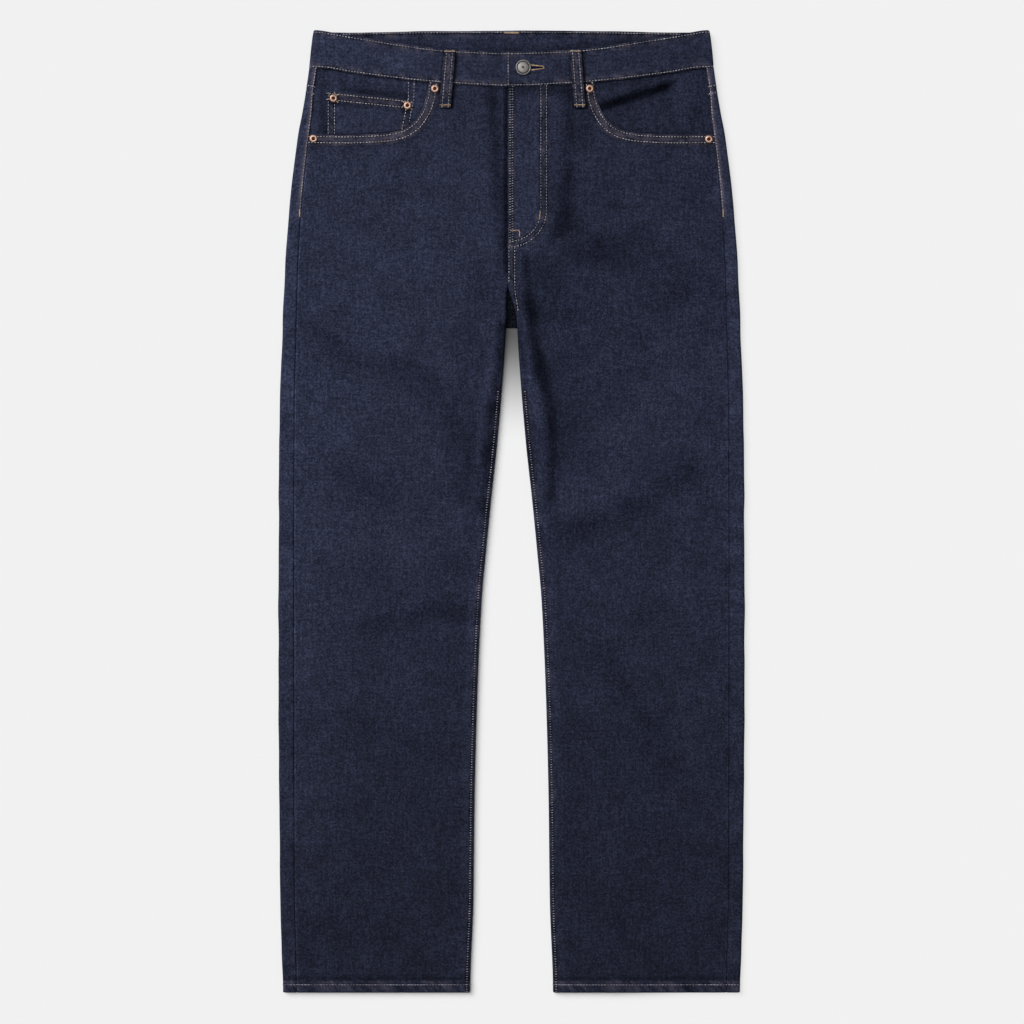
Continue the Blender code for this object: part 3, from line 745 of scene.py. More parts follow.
def outseam_marks(offsets, heights):
    """A front's puckers and rolled edge along the outseam: relief, shade painted over the puckers and a
    painted highlight along the edge, and rub.
    """
    distance = outseam(heights) - offsets
    pucker = seam_pucker(heights, distance)
    return pucker - round_over(distance, 2.2, 1.1), 0.9 * pucker + 0.3 * bell(distance - 1.0, 1.0), 0.0


def inseam_marks(side, offsets, heights):
    """The ripples beside the inseam, below the crotch: relief, a painted highlight along the seam that
    follows its ripples, and rub.
    """
    distance = offsets - inner_centre(side, heights)
    ripple = uneven(heights, distance, (5.5, 14.0), 23)
    on_seam = (1.0 - smoothstep(690.0, 760.0, heights)) * (1.0 - smoothstep(9.0, 14.0, distance))
    return 0.22 * ripple * on_seam, on_seam * (0.16 + 0.16 * ripple), 0.0


def fly_marks(side, offsets, heights):
    """The fly's rolled edge on the left front, and the hollow under it on the right: relief, painted light
    and shade, and rub.
    """
    joined = smoothstep(815.0, 835.0, heights)
    distance = offsets - front_seam(side, heights)
    # On the right front, painted shadow in the hollow under the fly's edge.
    if side < 0.0:
        return (-1.6 * joined * (1.0 - smoothstep(0.5, 7.0, distance)),
                -1.15 * joined * (1.0 - smoothstep(1.0, 6.5, distance)), 0.0)
    relief = joined * (0.2 * bell(distance - 4.0, 5.0) - round_over(distance, 1.6, 0.9))
    # A painted highlight on the fly, and painted shadow just below the waistband.
    tone = 0.08 * joined * fly_shape(offsets, heights)
    tone -= 0.5 * bell(heights - 1036.0, 8.0) * (offsets < 90.0)
    return relief, tone, 0.06 * joined * (1.0 - smoothstep(5.5, 8.0, distance))


def scoop_marks(side, offsets, heights):
    """The hand pocket's rolled edge, and the rubbed cloth doubled along it: relief, painted light and shade,
    and rub.
    """
    x = side * offsets
    distance, _ = nearest(x, heights, resample(scoop_edge(side), 3.0))
    beside_scoop = offsets > SCOOP[0].offset - 14.0
    doubled = beside_scoop * (1.0 - smoothstep(10.5, 13.0, distance))
    ribbing = uneven(x, heights, (2.6, 2.6), 24)
    # Painted highlight on the doubled cloth, stronger on the right front, and painted shade just below it.
    tone = (0.09 - 0.05 * side) * doubled - 0.2 * bell(distance - 14.0, 2.5) * beside_scoop
    return (0.4 * doubled - round_over(distance, 1.5, 0.8), tone,
            doubled * np.clip(0.16 + 0.26 * ribbing, 0.0, 1.0))


def front_piece(side, label):
    """A front panel, from its inner fold to the outseam, and from its hem to the band and the scoop."""
    levels = graded(0.0, FRONT_TOP, FRONT_ROWS, (8.0, 9.0, 2.6), (FRONT_TOP, 9.0, 3.0), (812.0, 20.0, 0.8))
    fractions = graded(0.0, 1.0, FRONT_COLUMNS, (0.0, 0.035, 3.2), (1.0, 0.018, 5.0),
                       (0.152, 0.022, 1.6), (0.436, 0.022, 2.6))
    level = levels[:, None]
    edge = level_height(levels, FRONT_BEND, FRONT_TOP, front_top(np.zeros(1))[0])
    start = read(INNER_FOLDS, edge, "angle")
    spread = 5.0 * smoothstep(40.0, 90.0, start) + 0.2
    first = inner_centre(side, edge)
    turn = radius(edge)
    height = np.repeat(level, FRONT_COLUMNS, axis=1)
    for _ in range(8):
        low = inner_centre(side, height) + spread[:, None]
        offset = mix(low, outseam(height) - SEAM_SLIT, fractions[None, :])
        height = level_height(level, FRONT_BEND, FRONT_TOP, front_top(offset))
    shares = np.linspace(0.0, 1.0, FOLD_COLUMNS + 1)[:-1]
    angle = np.radians(mix(start[:, None], 90.0, shares[None, :]))
    fold_offset = first[:, None] - turn[:, None] * np.cos(angle) + spread[:, None] * shares
    fold_height = np.repeat(edge[:, None], FOLD_COLUMNS, axis=1)
    offsets = np.concatenate((fold_offset, offset), axis=1)
    heights = np.concatenate((fold_height, height), axis=1)
    on_top = np.maximum(offsets, inner_centre(side, heights))
    z = front_skin(side, on_top, heights)
    x = side * offsets
    marks = (drawn_in(x, heights, front_rows(side) + scoop_rows(side) + seam_rows(side)),
             hem_marks(x, heights), outseam_marks(offsets, heights), inseam_marks(side, offsets, heights),
             fly_marks(side, offsets, heights), scoop_marks(side, offsets, heights))
    dz, tone, rub = [sum(parts) for parts in zip(*marks)]
    # Painted shade and highlight of the folds, and painted shadow of the loops, round the rivets and under
    # the waistband's lower edge.
    tone += folded(x, heights, FRONT_FOLDS)[1] + loop_shade(x, heights) + rivet_shade(x, heights)
    tone -= 0.55 * bell(front_top(offsets) - heights, 4.0) * (offsets < SCOOP[0].offset)
    dz[:, :FOLD_COLUMNS] *= np.sin(np.clip(angle, 0.0, None))
    z[:, :FOLD_COLUMNS] -= turn[:, None] * (1.0 - np.sin(angle))
    points = place(x, heights, z + dz)
    lay("front_cloth_" + label, "front_panel_" + label, points, heights, CLOTH, side < 0.0,
        anchor=FOLD_COLUMNS, tone=tone, rub=rub, hem=True)


def inner_end(side, height):
    """Offset at which a back piece's flat underside starts."""
    return np.where(height > CROTCH, 0.04 * fold_centre(height), inner_centre(side, height))


def back_inside(side, height):
    """The inner edge of a back piece: round the leg's inner fold, or out from the centre seam."""
    height = np.repeat(height, FOLD_COLUMNS, axis=1)
    shares = np.linspace(0.0, 1.0, FOLD_COLUMNS + 1)[:-1]
    open_seam = 14.0 + 24.0 * smoothstep(700.0, CROTCH, height)
    angle = np.radians(mix(read(INNER_FOLDS, height, "angle") - open_seam + 13.0, -90.0, shares))
    turn = radius(height)
    flat = height > CROTCH
    flat_offset = mix(SEAM_SLIT, inner_end(side, height), shares)
    offset = np.where(flat, flat_offset, inner_centre(side, height) - turn * np.cos(angle))
    return offset, height, np.where(flat, under(flat_offset, height), turn * (1.0 + np.sin(angle)))


def back_underside(side, height, fractions):
    """The face of a back piece that lies on the surface."""
    offset = mix(inner_end(side, height), fold_centre(height), fractions)
    lift = 0.15 * smoothstep(3.0, 12.0, offset) * np.abs(uneven(side * offset, height, (40.0, 60.0), 51))
    return offset, height, under(offset, height) + lift


def back_side_fold(height):
    """The outer fold of a back piece, from the surface up to the top."""
    turn = radius(height)
    angle = np.radians(np.linspace(-90.0, 90.0, OUTER_FOLD_COLUMNS)[None, 1:])
    bulge = turn * (1.0 + 0.05 * uneven(height, 0.0, (21.0, 1.0), 52))
    z = side_lift(height) + turn + turn * np.sin(angle)
    offset = fold_centre(height) + bulge * np.cos(angle)
    return offset, np.repeat(height, OUTER_FOLD_COLUMNS - 1, axis=1), z


def back_strip(side, height):
    """The strip of a back piece that lies on top, between the outer fold and the outseam."""
    fractions = graded(0.0, 1.0, STRIP_COLUMNS, (1.0, 0.25, 1.5))[None, 1:]
    offset = mix(fold_centre(height), outseam(height) + SEAM_SLIT, fractions)
    height = np.repeat(height, STRIP_COLUMNS - 1, axis=1)
    distance = offset - outseam(height)
    z = front_skin(side, offset, height) + seam_pucker(height, distance) - round_over(distance, 2.2, 1.1)
    return offset, height, z + hem_marks(side * offset, height)[0]


def back_points(side, height_at, count):
    """Outer face of a back piece, from its inner edge round to its outseam: offsets, heights and z."""
    inner_height = height_at(np.zeros((count, 1)))
    side_height = height_at(np.full((count, 1), YOKE_REACH * 2.0))
    fractions = graded(0.0, 1.0, BACK_COLUMNS, (0.0, 0.03, 1.5), (1.0, 0.02, 2.0))
    height = height_at((0.04 + 0.96 * fractions) * fold_centre(inner_height))
    blocks = (back_inside(side, inner_height), back_underside(side, height, fractions),
              back_side_fold(side_height), back_strip(side, side_height))
    return [np.concatenate(parts, axis=1) for parts in zip(*blocks)]


def back_marks(side, offsets, heights, z):
    """Painted light and shade of a back piece, with some uneven colour, and its rub: top faces, puckers, seam
    and crotch.
    """
    distance = np.abs(offsets - outseam(heights))
    upper = z > radius(heights)
    # Painted highlight on the top faces, painted shade over the puckers and in the seam, and some uneven
    # colour.
    tone = upper * (0.2 + 0.9 * seam_pucker(heights, distance))
    tone = tone + upper * 0.14 * uneven(heights, 0.35 * offsets, (6.5, 9.0), 53)
    tone = tone - 0.55 * upper * bell(distance, 1.1)
    _, hem_shade, rub = hem_marks(side * offsets, heights)
    tone = tone + hem_shade
    upper_seam = smoothstep(885.0, 900.0, heights)
    rub = rub + upper_seam * 0.35 * bell(distance - 2.0, 2.2)
    # Painted shade deep inside the crotch.
    hollow = (1.0 - smoothstep(10.0, 15.0, offsets)) * smoothstep(CROTCH - 2.0, CROTCH, heights)
    hollow = hollow * (1.0 - smoothstep(830.0, 850.0, heights))
    return tone - 2.4 * hollow, rub


def back_piece(side, label):
    """A back panel, from the inseam under the garment and round the side fold to the outseam."""
    levels = graded(0.0, YOKE_SIDE, BACK_ROWS, (8.0, 9.0, 2.0), (CROTCH, 5.0, 3.0), (YOKE_SIDE, 8.0, 2.0))
    step = np.searchsorted(levels, CROTCH)
    levels[step] = CROTCH + 0.01
    levels[step - 1] = CROTCH - 0.35

    def height_at(offset):
        return level_height(levels[:, None], BACK_BEND, YOKE_SIDE, yoke_seam(offset) - SEAM_SLIT)

    offsets, heights, z = back_points(side, height_at, len(levels))
    edge = yoke_seam(offsets) - heights
    on_strip = z > radius(heights)
    z = z - np.where(on_strip, round_over(edge, 1.8, 0.5), 0.0)
    tone, rub = back_marks(side, offsets, heights, z)
    points = place(side * offsets, heights, z)
    lay("back_cloth_" + label, "back_panel_" + label, points, heights, CLOTH, side > 0.0,
        anchor=FOLD_COLUMNS, tone=tone, rub=rub, hem=True)


def yoke_piece(side, label):
    """A back yoke, between the back panel and the waistband."""
    shares = graded(0.0, 1.0, 26, (0.0, 0.1, 1.5), (1.0, 0.08, 1.0))

    def height_at(offset):
        low = yoke_seam(offset) + SEAM_SLIT
        return mix(low, BACK_BAND_SEAM - SEAM_SLIT, shares[:, None])

    offsets, heights, z = back_points(side, height_at, len(shares))
    edge = heights - yoke_seam(offsets)
    on_strip = z > radius(heights)
    z = z + np.where(on_strip, 0.35 - round_over(edge, 1.8, 0.7), 0.0)
    tone, rub = back_marks(side, offsets, heights, z)
    points = place(side * offsets, heights, z)
    lay("yoke_cloth_" + label, "back_yoke_" + label, points, heights, CLOTH, side > 0.0,
        anchor=FOLD_COLUMNS, tone=tone, rub=rub)


# ----------------------------------------------------------
# Pockets.

def facing_skin(side, offset, height):
    """Outer face of the pocket facing behind the scoop."""
    z = front_skin(side, offset, height) - CLOTH - GAP - folded(side * offset, height, FACING_FOLDS)[0]
    return z + 0.25 * uneven(side * offset, height, (28.0, 17.0), 61)


def facing_piece(side, label):
    """The facing that shows inside the hand pocket's scoop, with its lap behind the front."""
    inner = SCOOP[0].offset - 9.0
    shares = graded(0.0, 1.0, 46, (1.0, 0.08, 1.0))[:, None]
    across = np.linspace(0.0, 1.0, 70)[None, :]
    height = np.full((46, 70), BAND_SEAM[-1].height)
    for _ in range(8):
        offset = mix(inner, outseam(height) + 1.4, across)
        foot = read(SCOOP, np.maximum(offset, SCOOP[2].offset)) - 14.0
        height = mix(foot, read(BAND_SEAM, offset) - SEAM_SLIT, shares)
    points = place(side * offset, height, facing_skin(side, offset, height))
    tone = 0.12 * uneven(side * offset, height, (11.0, 40.0), 62)
    # Painted shade of the folds, painted shadow under the band seam and along the scoop's edge, and painted
    # shade over the facing, deeper on the left one.
    tone += folded(side * offset, height, FACING_FOLDS)[1]
    tone -= 0.35 * bell(read(BAND_SEAM, offset) - height, 4.0)
    tone -= 0.35 * bell(height - read(SCOOP, offset), 4.0)
    tone -= 0.26 if side > 0.0 else -0.02
    lay("facing_cloth_" + label, "pocket_facing_" + label, points, height, THIN_CLOTH, side < 0.0,
        tone=tone)


def coin_rows():
    """The coin pocket's stitched rows: two below its top edge, then those down its sides."""
    offset = np.linspace(COIN_TOP_INNER.offset + 2.5, COIN_TOP_OUTER.offset, 40)
    share = (offset - COIN_TOP_INNER.offset) / (COIN_TOP_OUTER.offset - COIN_TOP_INNER.offset)
    top = mix(COIN_TOP_INNER.height, COIN_TOP_OUTER.height, share)
    hems = [np.stack([-offset, top - fall], axis=1) for fall in COIN_HEM_ROWS]
    return hems + [np.array(row) for row in COIN_SIDE_ROWS]


def coin_piece():
    """The coin pocket on the right facing, with its lap behind the front."""
    side = -1.0
    shares = graded(0.0, 1.0, 40, (1.0, 0.22, 1.6))[:, None]
    across = graded(0.0, 1.0, 64, (0.0, 0.06, 1.5), (1.0, 0.06, 1.5))[None, :]
    offset = mix(COIN_TOP_INNER.offset + 2.5, COIN_TOP_OUTER.offset, across)
    foot = read(SCOOP, offset) + 1.0
    top = mix(COIN_TOP_INNER.height, COIN_TOP_OUTER.height, across)
    height = mix(foot, top, shares)
    offset = np.broadcast_to(offset, height.shape)
    dz, tone, rub = drawn_in(side * offset, height, coin_rows(), reach=2.6)
    edge = np.minimum(offset - offset[:, :1], offset[:, -1:] - offset)
    edge = np.minimum(edge, top - height)
    dz -= round_over(edge, 1.4, 0.7)
    on_hem = 1.0 - smoothstep(9.5, 11.5, top - height)
    dz += 0.3 * on_hem
    rub += on_hem * np.clip(0.1 + 0.24 * uneven(side * offset, height, (2.6, 2.6), 25), 0.0, 1.0)
    # Painted shade round the rivets, over the hem and in a line below it.
    tone += rivet_shade(side * offset, height) - 0.1 * on_hem - 0.4 * bell(top - height - 13.5, 1.8)
    z = front_skin(side, offset, height) - CLOTH + THIN_CLOTH + 0.2 + dz
    points = place(side * offset, height, z)
    lay("coin_cloth", "coin_pocket", points, height, THIN_CLOTH, True,
        tone=tone, rub=rub, soft_edge=0.3)


def patch_foot(across):
    inner = mix(POCKET_FOOT_INNER.height, POCKET_POINT.height, np.clip(2.0 * across, 0.0, 1.0))
    outer_part = (POCKET_FOOT_OUTER.height - POCKET_POINT.height) * np.clip(2.0 * across - 1.0, 0.0, 1.0)
    return inner + outer_part


def patch_outline(side, inset):
    """A back pocket's stitched outline: down one edge, round the point and up the other."""
    line = np.array([POCKET_TOP_INNER, POCKET_FOOT_INNER, POCKET_POINT, POCKET_FOOT_OUTER,
                     POCKET_TOP_OUTER], float)
    middle = line.mean(axis=0)
    line = middle + (line - middle) * (1.0 - inset / np.array([70.0, 78.0]))
    line[[0, -1], 1] = POCKET_TOP_INNER.height, POCKET_TOP_OUTER.height
    return line * (side, 1.0)


def patch_rows(side):
    """A back pocket's stitched rows: two round its outline and two along its hem."""
    rows = [patch_outline(side, inset) for inset in (1.5, 8.0)]
    top = np.array([POCKET_TOP_INNER, POCKET_TOP_OUTER]) * (side, 1.0)
    return rows + [top - (0.0, fall) for fall in (1.8, 14.0)]


def patch_piece(side, label):
    """A plain patch pocket on the back, with its face down."""
    shares = graded(0.0, 1.0, 60, (1.0, 0.12, 1.2))[:, None]
    across = graded(0.0, 1.0, 56, (0.0, 0.07, 1.5), (1.0, 0.07, 1.5))[None, :]
    top = mix(POCKET_TOP_INNER.height, POCKET_TOP_OUTER.height, across)
    inner = mix(POCKET_FOOT_INNER.offset, POCKET_TOP_INNER.offset, shares)
    edge = mix(POCKET_FOOT_OUTER.offset, POCKET_TOP_OUTER.offset, shares)
    offset = mix(inner, edge, across)
    height = mix(patch_foot(across), top, shares)
    dz, tone, rub = drawn_in(side * offset, height, patch_rows(side), reach=2.5)
    border = np.minimum(offset - inner, edge - offset)
    border = np.minimum(border, np.minimum(top - height, height - patch_foot(across)))
    z = np.maximum(0.0, round_over(border, 1.2, 0.5) - dz)
    points = place(side * offset, height, z)
    lay("patch_cloth_" + label, "back_pocket_" + label, points, height, POCKET_LIFT - GAP,
        side > 0.0, tone=tone, rub=rub, soft_edge=0.3)


# ----------------------------------------------------------
# Waistband, loops and fly.

def band_skin(x):
    """Outer face of the front waistband, whose left end laps over its right end."""
    over = BAND_FRONT + BAND_LAP_RISE * (1.0 - smoothstep(36.0, 76.0, x))
    below = BAND_FRONT - BAND_LAP_DROP * smoothstep(-26.0, -9.0, x)
    return over, below


def band_path(shares):
    """Outer face of the waistband all the way round, from its left end to its right end."""
    blocks = []

    def front(x, z):
        low = read(BAND_SEAM, np.abs(x)) - BAND_OVERHANG
        high = read(BAND_TOP, np.abs(x)) + 0.6
        blocks.append(place(x, mix(low, high, shares), z))

    def fold(side, angles):
        front_share = (1.0 + np.sin(angles)) / 2.0
        low = mix(BACK_BAND_SEAM, BAND_SEAM[-1].height, front_share) - BAND_OVERHANG * front_share
        high = mix(BACK_BAND_TOP[-1].height, BAND_TOP[-1].height, front_share) + 0.6
        height = mix(low, high, shares)
        turn = (BAND_FRONT - BAND_BACK) / 2.0
        offset = read(SECTIONS, height, "outer") - turn + turn * np.cos(angles)
        blocks.append(place(side * offset, height, BAND_BACK + turn * (1.0 + np.sin(angles))))

    left = graded(BAND_LEFT_END, BAND_FOLD_X, 150, (BAND_LEFT_END, 9.0, 1.5))
    front(left, band_skin(left)[0])
    angles = np.radians(np.linspace(90.0, -90.0, 13))
    fold(1.0, angles)
    x = np.linspace(215.0, -215.0, 170)
    high = read(BACK_BAND_TOP, np.abs(x)) + 0.6
    blocks.append(place(x, mix(BACK_BAND_SEAM + SEAM_SLIT, high, shares), BAND_BACK))
    fold(-1.0, angles[::-1])
    right = np.linspace(-BAND_FOLD_X, BAND_RIGHT_END, 165)
    front(right, band_skin(right)[1])
    return np.concatenate(blocks, axis=1)


def keyhole_cutter():
    """A round eyelet under the button and a narrow slit away from the band's end."""
    bm = bmesh.new()
    slit = 0.9
    meet = math.asin(slit / EYELET_RADIUS)
    outline = []
    for angle in np.linspace(meet, math.tau - meet, 25):
        outline.append((BUTTON.offset + EYELET_RADIUS * math.cos(angle),
                        BUTTON.height + EYELET_RADIUS * math.sin(angle)))
    outline += [(BUTTONHOLE_END, BUTTON.height - slit), (BUTTONHOLE_END, BUTTON.height + slit)]
    low = (BAND_FRONT - BAND_LAP_DROP + 0.25) * MM
    face = bm.faces.new([bm.verts.new((x * MM, (HEM_Y + h) * MM, low)) for x, h in outline])
    extruded = bmesh.ops.extrude_face_region(bm, geom=[face])
    moved = [item for item in extruded["geom"] if isinstance(item, bmesh.types.BMVert)]
    bmesh.ops.translate(bm, verts=moved, vec=(0.0, 0.0, 5.0 * MM))
    bmesh.ops.recalc_face_normals(bm, faces=bm.faces)
    mesh = bpy.data.meshes.new("keyhole")
    bm.to_mesh(mesh)
    bm.free()
    mesh.materials.append(MATERIALS["denim"])
    return linked("keyhole", mesh)


def loop_shade(x, height):
    """Painted shadow beside the front loops, which stand off the cloth, deeper on their right."""
    tone = np.zeros(np.shape(x))
    for top_x, foot_x in FRONT_LOOPS.values():
        top = read(BAND_TOP, abs(top_x))
        beyond = np.abs(x - mix(top_x, foot_x, (top - height) / LOOP_LENGTH)) - LOOP_WIDTH / 2.0
        right = x > (top_x + foot_x) / 2.0
        shade = bell(np.maximum(beyond, 0.0), mix(1.2, 2.4, right))
        tone -= mix(0.5, 1.3, right) * shade * (height > top - LOOP_LENGTH - 1.0) * (height < top)
    return tone


def rivet_shade(x, height):
    """Painted shade round the rivets, where they press the cloth down."""
    tone = np.zeros(np.shape(x))
    for _, rivet_x, rivet_height, _ in RIVETS:
        distance = np.hypot(x - rivet_x, height - rivet_height)
        tone -= 0.75 * bell(distance - 5.6, 1.7)
    return tone


def band_marks(x, height, along, shares):
    """The waistband's crown and rows of stitches: relief, painted light and shade with some uneven colour,
    and rub.
    """
    from_low = height - height[:1]
    from_top = height[-1:] - height
    relief = 0.35 * np.sin(math.pi * shares) ** 0.6 + 0.32 * uneven(along, height, (44.0, 60.0), 81)
    tone = 0.1 * uneven(along, height, (22.0, 7.0), 84) + 0.1 * uneven(along, height, (5.0, 3.0), 86)
    # Painted light: lighter towards the wearer's right, where the light comes from, with the loops' painted
    # shadow.
    tone += 0.12 - 0.2 * smoothstep(-120.0, 40.0, x) + loop_shade(x, height)
    rub = np.zeros(along.shape)
    for seed, distance in ((82, from_low - BAND_LOW_STITCH), (83, from_top - BAND_TOP_STITCH)):
        ripple = uneven(along + 0.8 * height, distance, (5.0, 12.0), seed)
        falloff = bell(distance, 4.5)
        trench = bell(distance, 0.85)
        relief += 0.25 * ripple * falloff - 0.32 * trench
        tone += 0.22 * ripple * falloff - 0.5 * trench - 0.4 * bell(distance, 2.0)
        rub += np.maximum(0.0, 0.08 + 0.3 * ripple) * falloff
    trench = bell(along - BAND_END_STITCH, 0.85)
    relief -= 0.3 * trench
    tone -= 0.9 * trench + 0.35 * bell(along - BAND_END_STITCH - 3.0, 1.4)
    # The button holds the cloth flat, and the hidden end lies flat under the lap.
    calm = smoothstep(9.0, 20.0, np.hypot(x - BUTTON.offset, height - BUTTON.height))
    relief = np.where(along > along[0, -1] - 45.0, 0.0, relief * mix(0.25, 1.0, calm))
    relief -= round_over(np.minimum(from_low, from_top), 1.4, 0.5)
    # Painted shadow along the band's lower edge.
    tone[0] -= 0.5
    return relief, tone, rub


def band_piece():
    """The waistband, all the way round, with its left end over its right end and its buttonhole cut."""
    shares = graded(0.0, 1.0, 27, (0.04, 0.06, 1.8), (0.96, 0.06, 1.8))[:, None]
    points = band_path(shares)
    height = points[..., 1] - HEM_Y
    steps = np.linalg.norm(np.diff(points[len(shares) // 2], axis=0), axis=1)
    along = np.concatenate(([0.0], np.cumsum(steps))) * np.ones((len(shares), 1))
    relief, tone, rub = band_marks(points[..., 0], height, along, shares)
    # The front of the band hides all but the top of its back, and shade is painted on the back along the
    # front's top edge.
    on_back = points[..., 2] < BAND_BACK + 0.01
    relief = np.where(on_back, np.minimum(relief, 0.6), relief)
    covered = read(BAND_TOP, np.abs(points[..., 0])) - height
    tone -= np.where(on_back, 0.5 * bell(covered, 5.0) + 0.12, 0.0)
    points = points + normals_of(points, False) * relief[..., None]
    points[..., 1] += 0.3 * uneven(along, 0.0, (38.0, 1.0), 85) * smoothstep(0.6, 1.0, shares)
    grain = np.stack([height, along], axis=-1) * MM
    band = lay("band_cloth", "waistband", points, height, BAND_WALL, False,
               tone=tone, rub=rub, soft_edge=0.0, grain=grain,
               finishes=(MATERIALS["denim"],))
    cutter = keyhole_cutter()
    cut = band.modifiers.new("Buttonhole", "BOOLEAN")
    cut.operation = "DIFFERENCE"
    cut.object = cutter
    settle(band)
    bpy.data.objects.remove(cutter)
    soften(band, 0.7, 3)


def loop_piece(label, node, centres, width, top, seat, face_down):
    """A belt loop: a folded strip with a crown between its two stitched rows, tacked at both ends."""
    share = graded(0.0, 1.0, 60, (0.0, 0.05, 1.5), (1.0, 0.05, 1.5))[:, None]
    across = graded(-0.5, 0.5, 21, (-0.5, 0.08, 1.5), (0.5, 0.08, 1.5))[None, :]
    x = mix(centres[0], centres[1], share) + width * across
    height = np.broadcast_to(top - LOOP_LENGTH * share, x.shape)
    z = seat(np.broadcast_to(mix(centres[0], centres[1], share), height.shape), share, height)
    seed = 90 + len(LAID)
    inset = (0.5 - np.abs(across)) * width
    relief = 0.3 * np.cos(math.pi * across) - 0.28 * bell(inset - LOOP_INSET, 0.8)
    relief = relief - round_over(inset, 1.3, 0.7)
    relief = relief + 0.14 * uneven(x, height, (5.0, 7.0), seed)
    ends = np.minimum(share, 1.0 - share) * LOOP_LENGTH
    relief = relief - round_over(ends, 1.2, 0.6) + 0.45 * (1.0 - smoothstep(3.0, 5.0, ends))
    relief = relief - 0.3 * bell(ends - 1.8, 0.9)
    ribs = uneven(x, height, (2.4, 3.2), seed + 40)
    # Painted shade along the stitched rows, at the rolled edges and beside the tacks, over the ribs' uneven
    # colour.
    tone = 0.25 * ribs - 0.8 * bell(inset - LOOP_INSET, 1.2) - 1.2 * bell(inset, 1.2)
    tone = tone - 0.9 * bell(ends - 2.6, 0.9)
    rub = np.clip(0.14 + 0.25 * ribs, 0.0, 1.0)
    if face_down:
        z = np.maximum(z - np.minimum(relief, 0.0), 0.0)
    else:
        z = z + relief
    points = place(x, height, z)
    grain = np.stack([height, x], axis=-1) * MM
    lay("loop_cloth_" + label, node, points, height, LOOP_WALL, not face_down,
        tone=tone, rub=rub, soft_edge=0.4, grain=grain, finishes=(MATERIALS["denim"],))


def front_loop_piece(label):
    top_x, foot_x = FRONT_LOOPS[label]
    side = SIDES[label]

    def seat(middle, share, height):
        over, below = band_skin(middle)
        on_band = over if side > 0.0 else below
        on_front = front_skin(side, side * middle, height)
        rest = mix(on_band, on_front, smoothstep(0.62, 0.8, share))
        return rest + GAP + LOOP_WALL + 0.35 + 0.8 * np.sin(math.pi * share)

    top = float(read(BAND_TOP, abs(top_x))) - 0.3
    loop_piece("front_" + label, "belt_loop_front_" + label, (top_x, foot_x), LOOP_WIDTH, top,
               seat, False)


def back_loop_piece(label):
    x = BACK_LOOPS[label]
    top = float(read(BACK_BAND_TOP, abs(x)))

    def seat(middle, share, height):
        return np.zeros(height.shape)

    loop_piece(label, "belt_loop_" + label, (x, x), BACK_LOOP_WIDTH, top, seat, True)


def fly_facing_piece():
    """The facing behind the left front's fly, cut to the curve that its stitching follows."""
    shares = graded(0.0, 1.0, 60, (0.0, 0.15, 2.0))[:, None]
    across = np.linspace(0.0, 1.0, 16)[None, :]
    height = mix(FLY_FOOT + 4.0, 1040.0, shares)
    offset = mix(FLY_EDGE + 0.8, fly_width(height) - 3.0, across)
    height = np.broadcast_to(height, offset.shape)
    z = front_skin(1.0, np.maximum(offset, FLY_EDGE + SEAM_SLIT), height) - CLOTH - 2.0 * GAP - 0.2
    lay("fly_facing_cloth", "fly_facing", place(offset, height, z), height, THIN_CLOTH, False,
        finishes=(MATERIALS["denim_reverse"],))


def zip_piece():
    """The zip's tape with its chain, one strip under the fly facing."""
    height = np.repeat(np.linspace(ZIP_FOOT, ZIP_TOP, 40)[:, None], 12, axis=1)
    x = np.linspace(-15.0, 18.0, 12)
    z = front_skin(-1.0, np.full(height.shape, 10.0), height) - CLOTH - 2.0 * GAP - THIN_CLOTH + 0.1
    lay("zip_tape_cloth", "fly_zip", place(x, height, z), height, THIN_CLOTH,
        False, finishes=(MATERIALS["zip_tape"],))


# ----------------------------------------------------------
# Stitches, by Geometry Nodes.

def fill(tree, node, inputs):
    """Fills a node's inputs with values, or with links from other nodes or their outputs."""
    for key, value in inputs.items():
        if isinstance(value, bpy.types.Node):
            value = value.outputs[0]
        if isinstance(value, bpy.types.NodeSocket):
            tree.links.new(value, node.inputs[key])
        else:
            node.inputs[key].default_value = value
    return node


def add(tree, kind, inputs=None, **settings):
    """Adds a node, sets its properties and fills its inputs."""
    node = tree.nodes.new(kind)
    for name, value in settings.items():
        setattr(node, name, value)
    return fill(tree, node, inputs or {})


def new_tree(name, sockets):
    """An empty geometry tree with the named inputs, and its inputs' outputs."""
    tree = bpy.data.node_groups.new(name, "GeometryNodeTree")
    for label, kind in {"Geometry": "Geometry", **sockets}.items():
        tree.interface.new_socket(label, in_out="INPUT", socket_type="NodeSocket" + kind)
    tree.interface.new_socket("Geometry", in_out="OUTPUT", socket_type="NodeSocketGeometry")
    return tree, add(tree, "NodeGroupInput").outputs


def stood_up(tree, angle, facing=None):
    """A rotation that stands a piece on the cloth, turned by an angle about its upright."""
    up = add(tree, "GeometryNodeInputNamedAttribute", {"Name": "up"}, data_type="FLOAT_VECTOR")
    inputs = {"Vector": up}
    if facing:
        inputs["Rotation"] = facing
    upright = add(tree, "FunctionNodeAlignRotationToVector", inputs, axis="Z",
                  pivot_axis="X" if facing else "AUTO")
    spin = add(tree, "FunctionNodeAxisAngleToRotation", {"Angle": angle, "Axis": (0, 0, 1)})
    return add(tree, "FunctionNodeRotateRotation", {"Rotation": upright, "Rotate By": spin},
               rotation_space="LOCAL")


def end_tree(tree, geometry, finish):
    """Makes the instances real, gives them their material and ends the tree."""
    real = add(tree, "GeometryNodeRealizeInstances", {"Geometry": geometry})
    smooth = add(tree, "GeometryNodeSetShadeSmooth", {"Geometry": real})
    done = add(tree, "GeometryNodeSetMaterial", {"Geometry": smooth, "Material": finish})
    add(tree, "NodeGroupOutput", {"Geometry": done})
    return tree


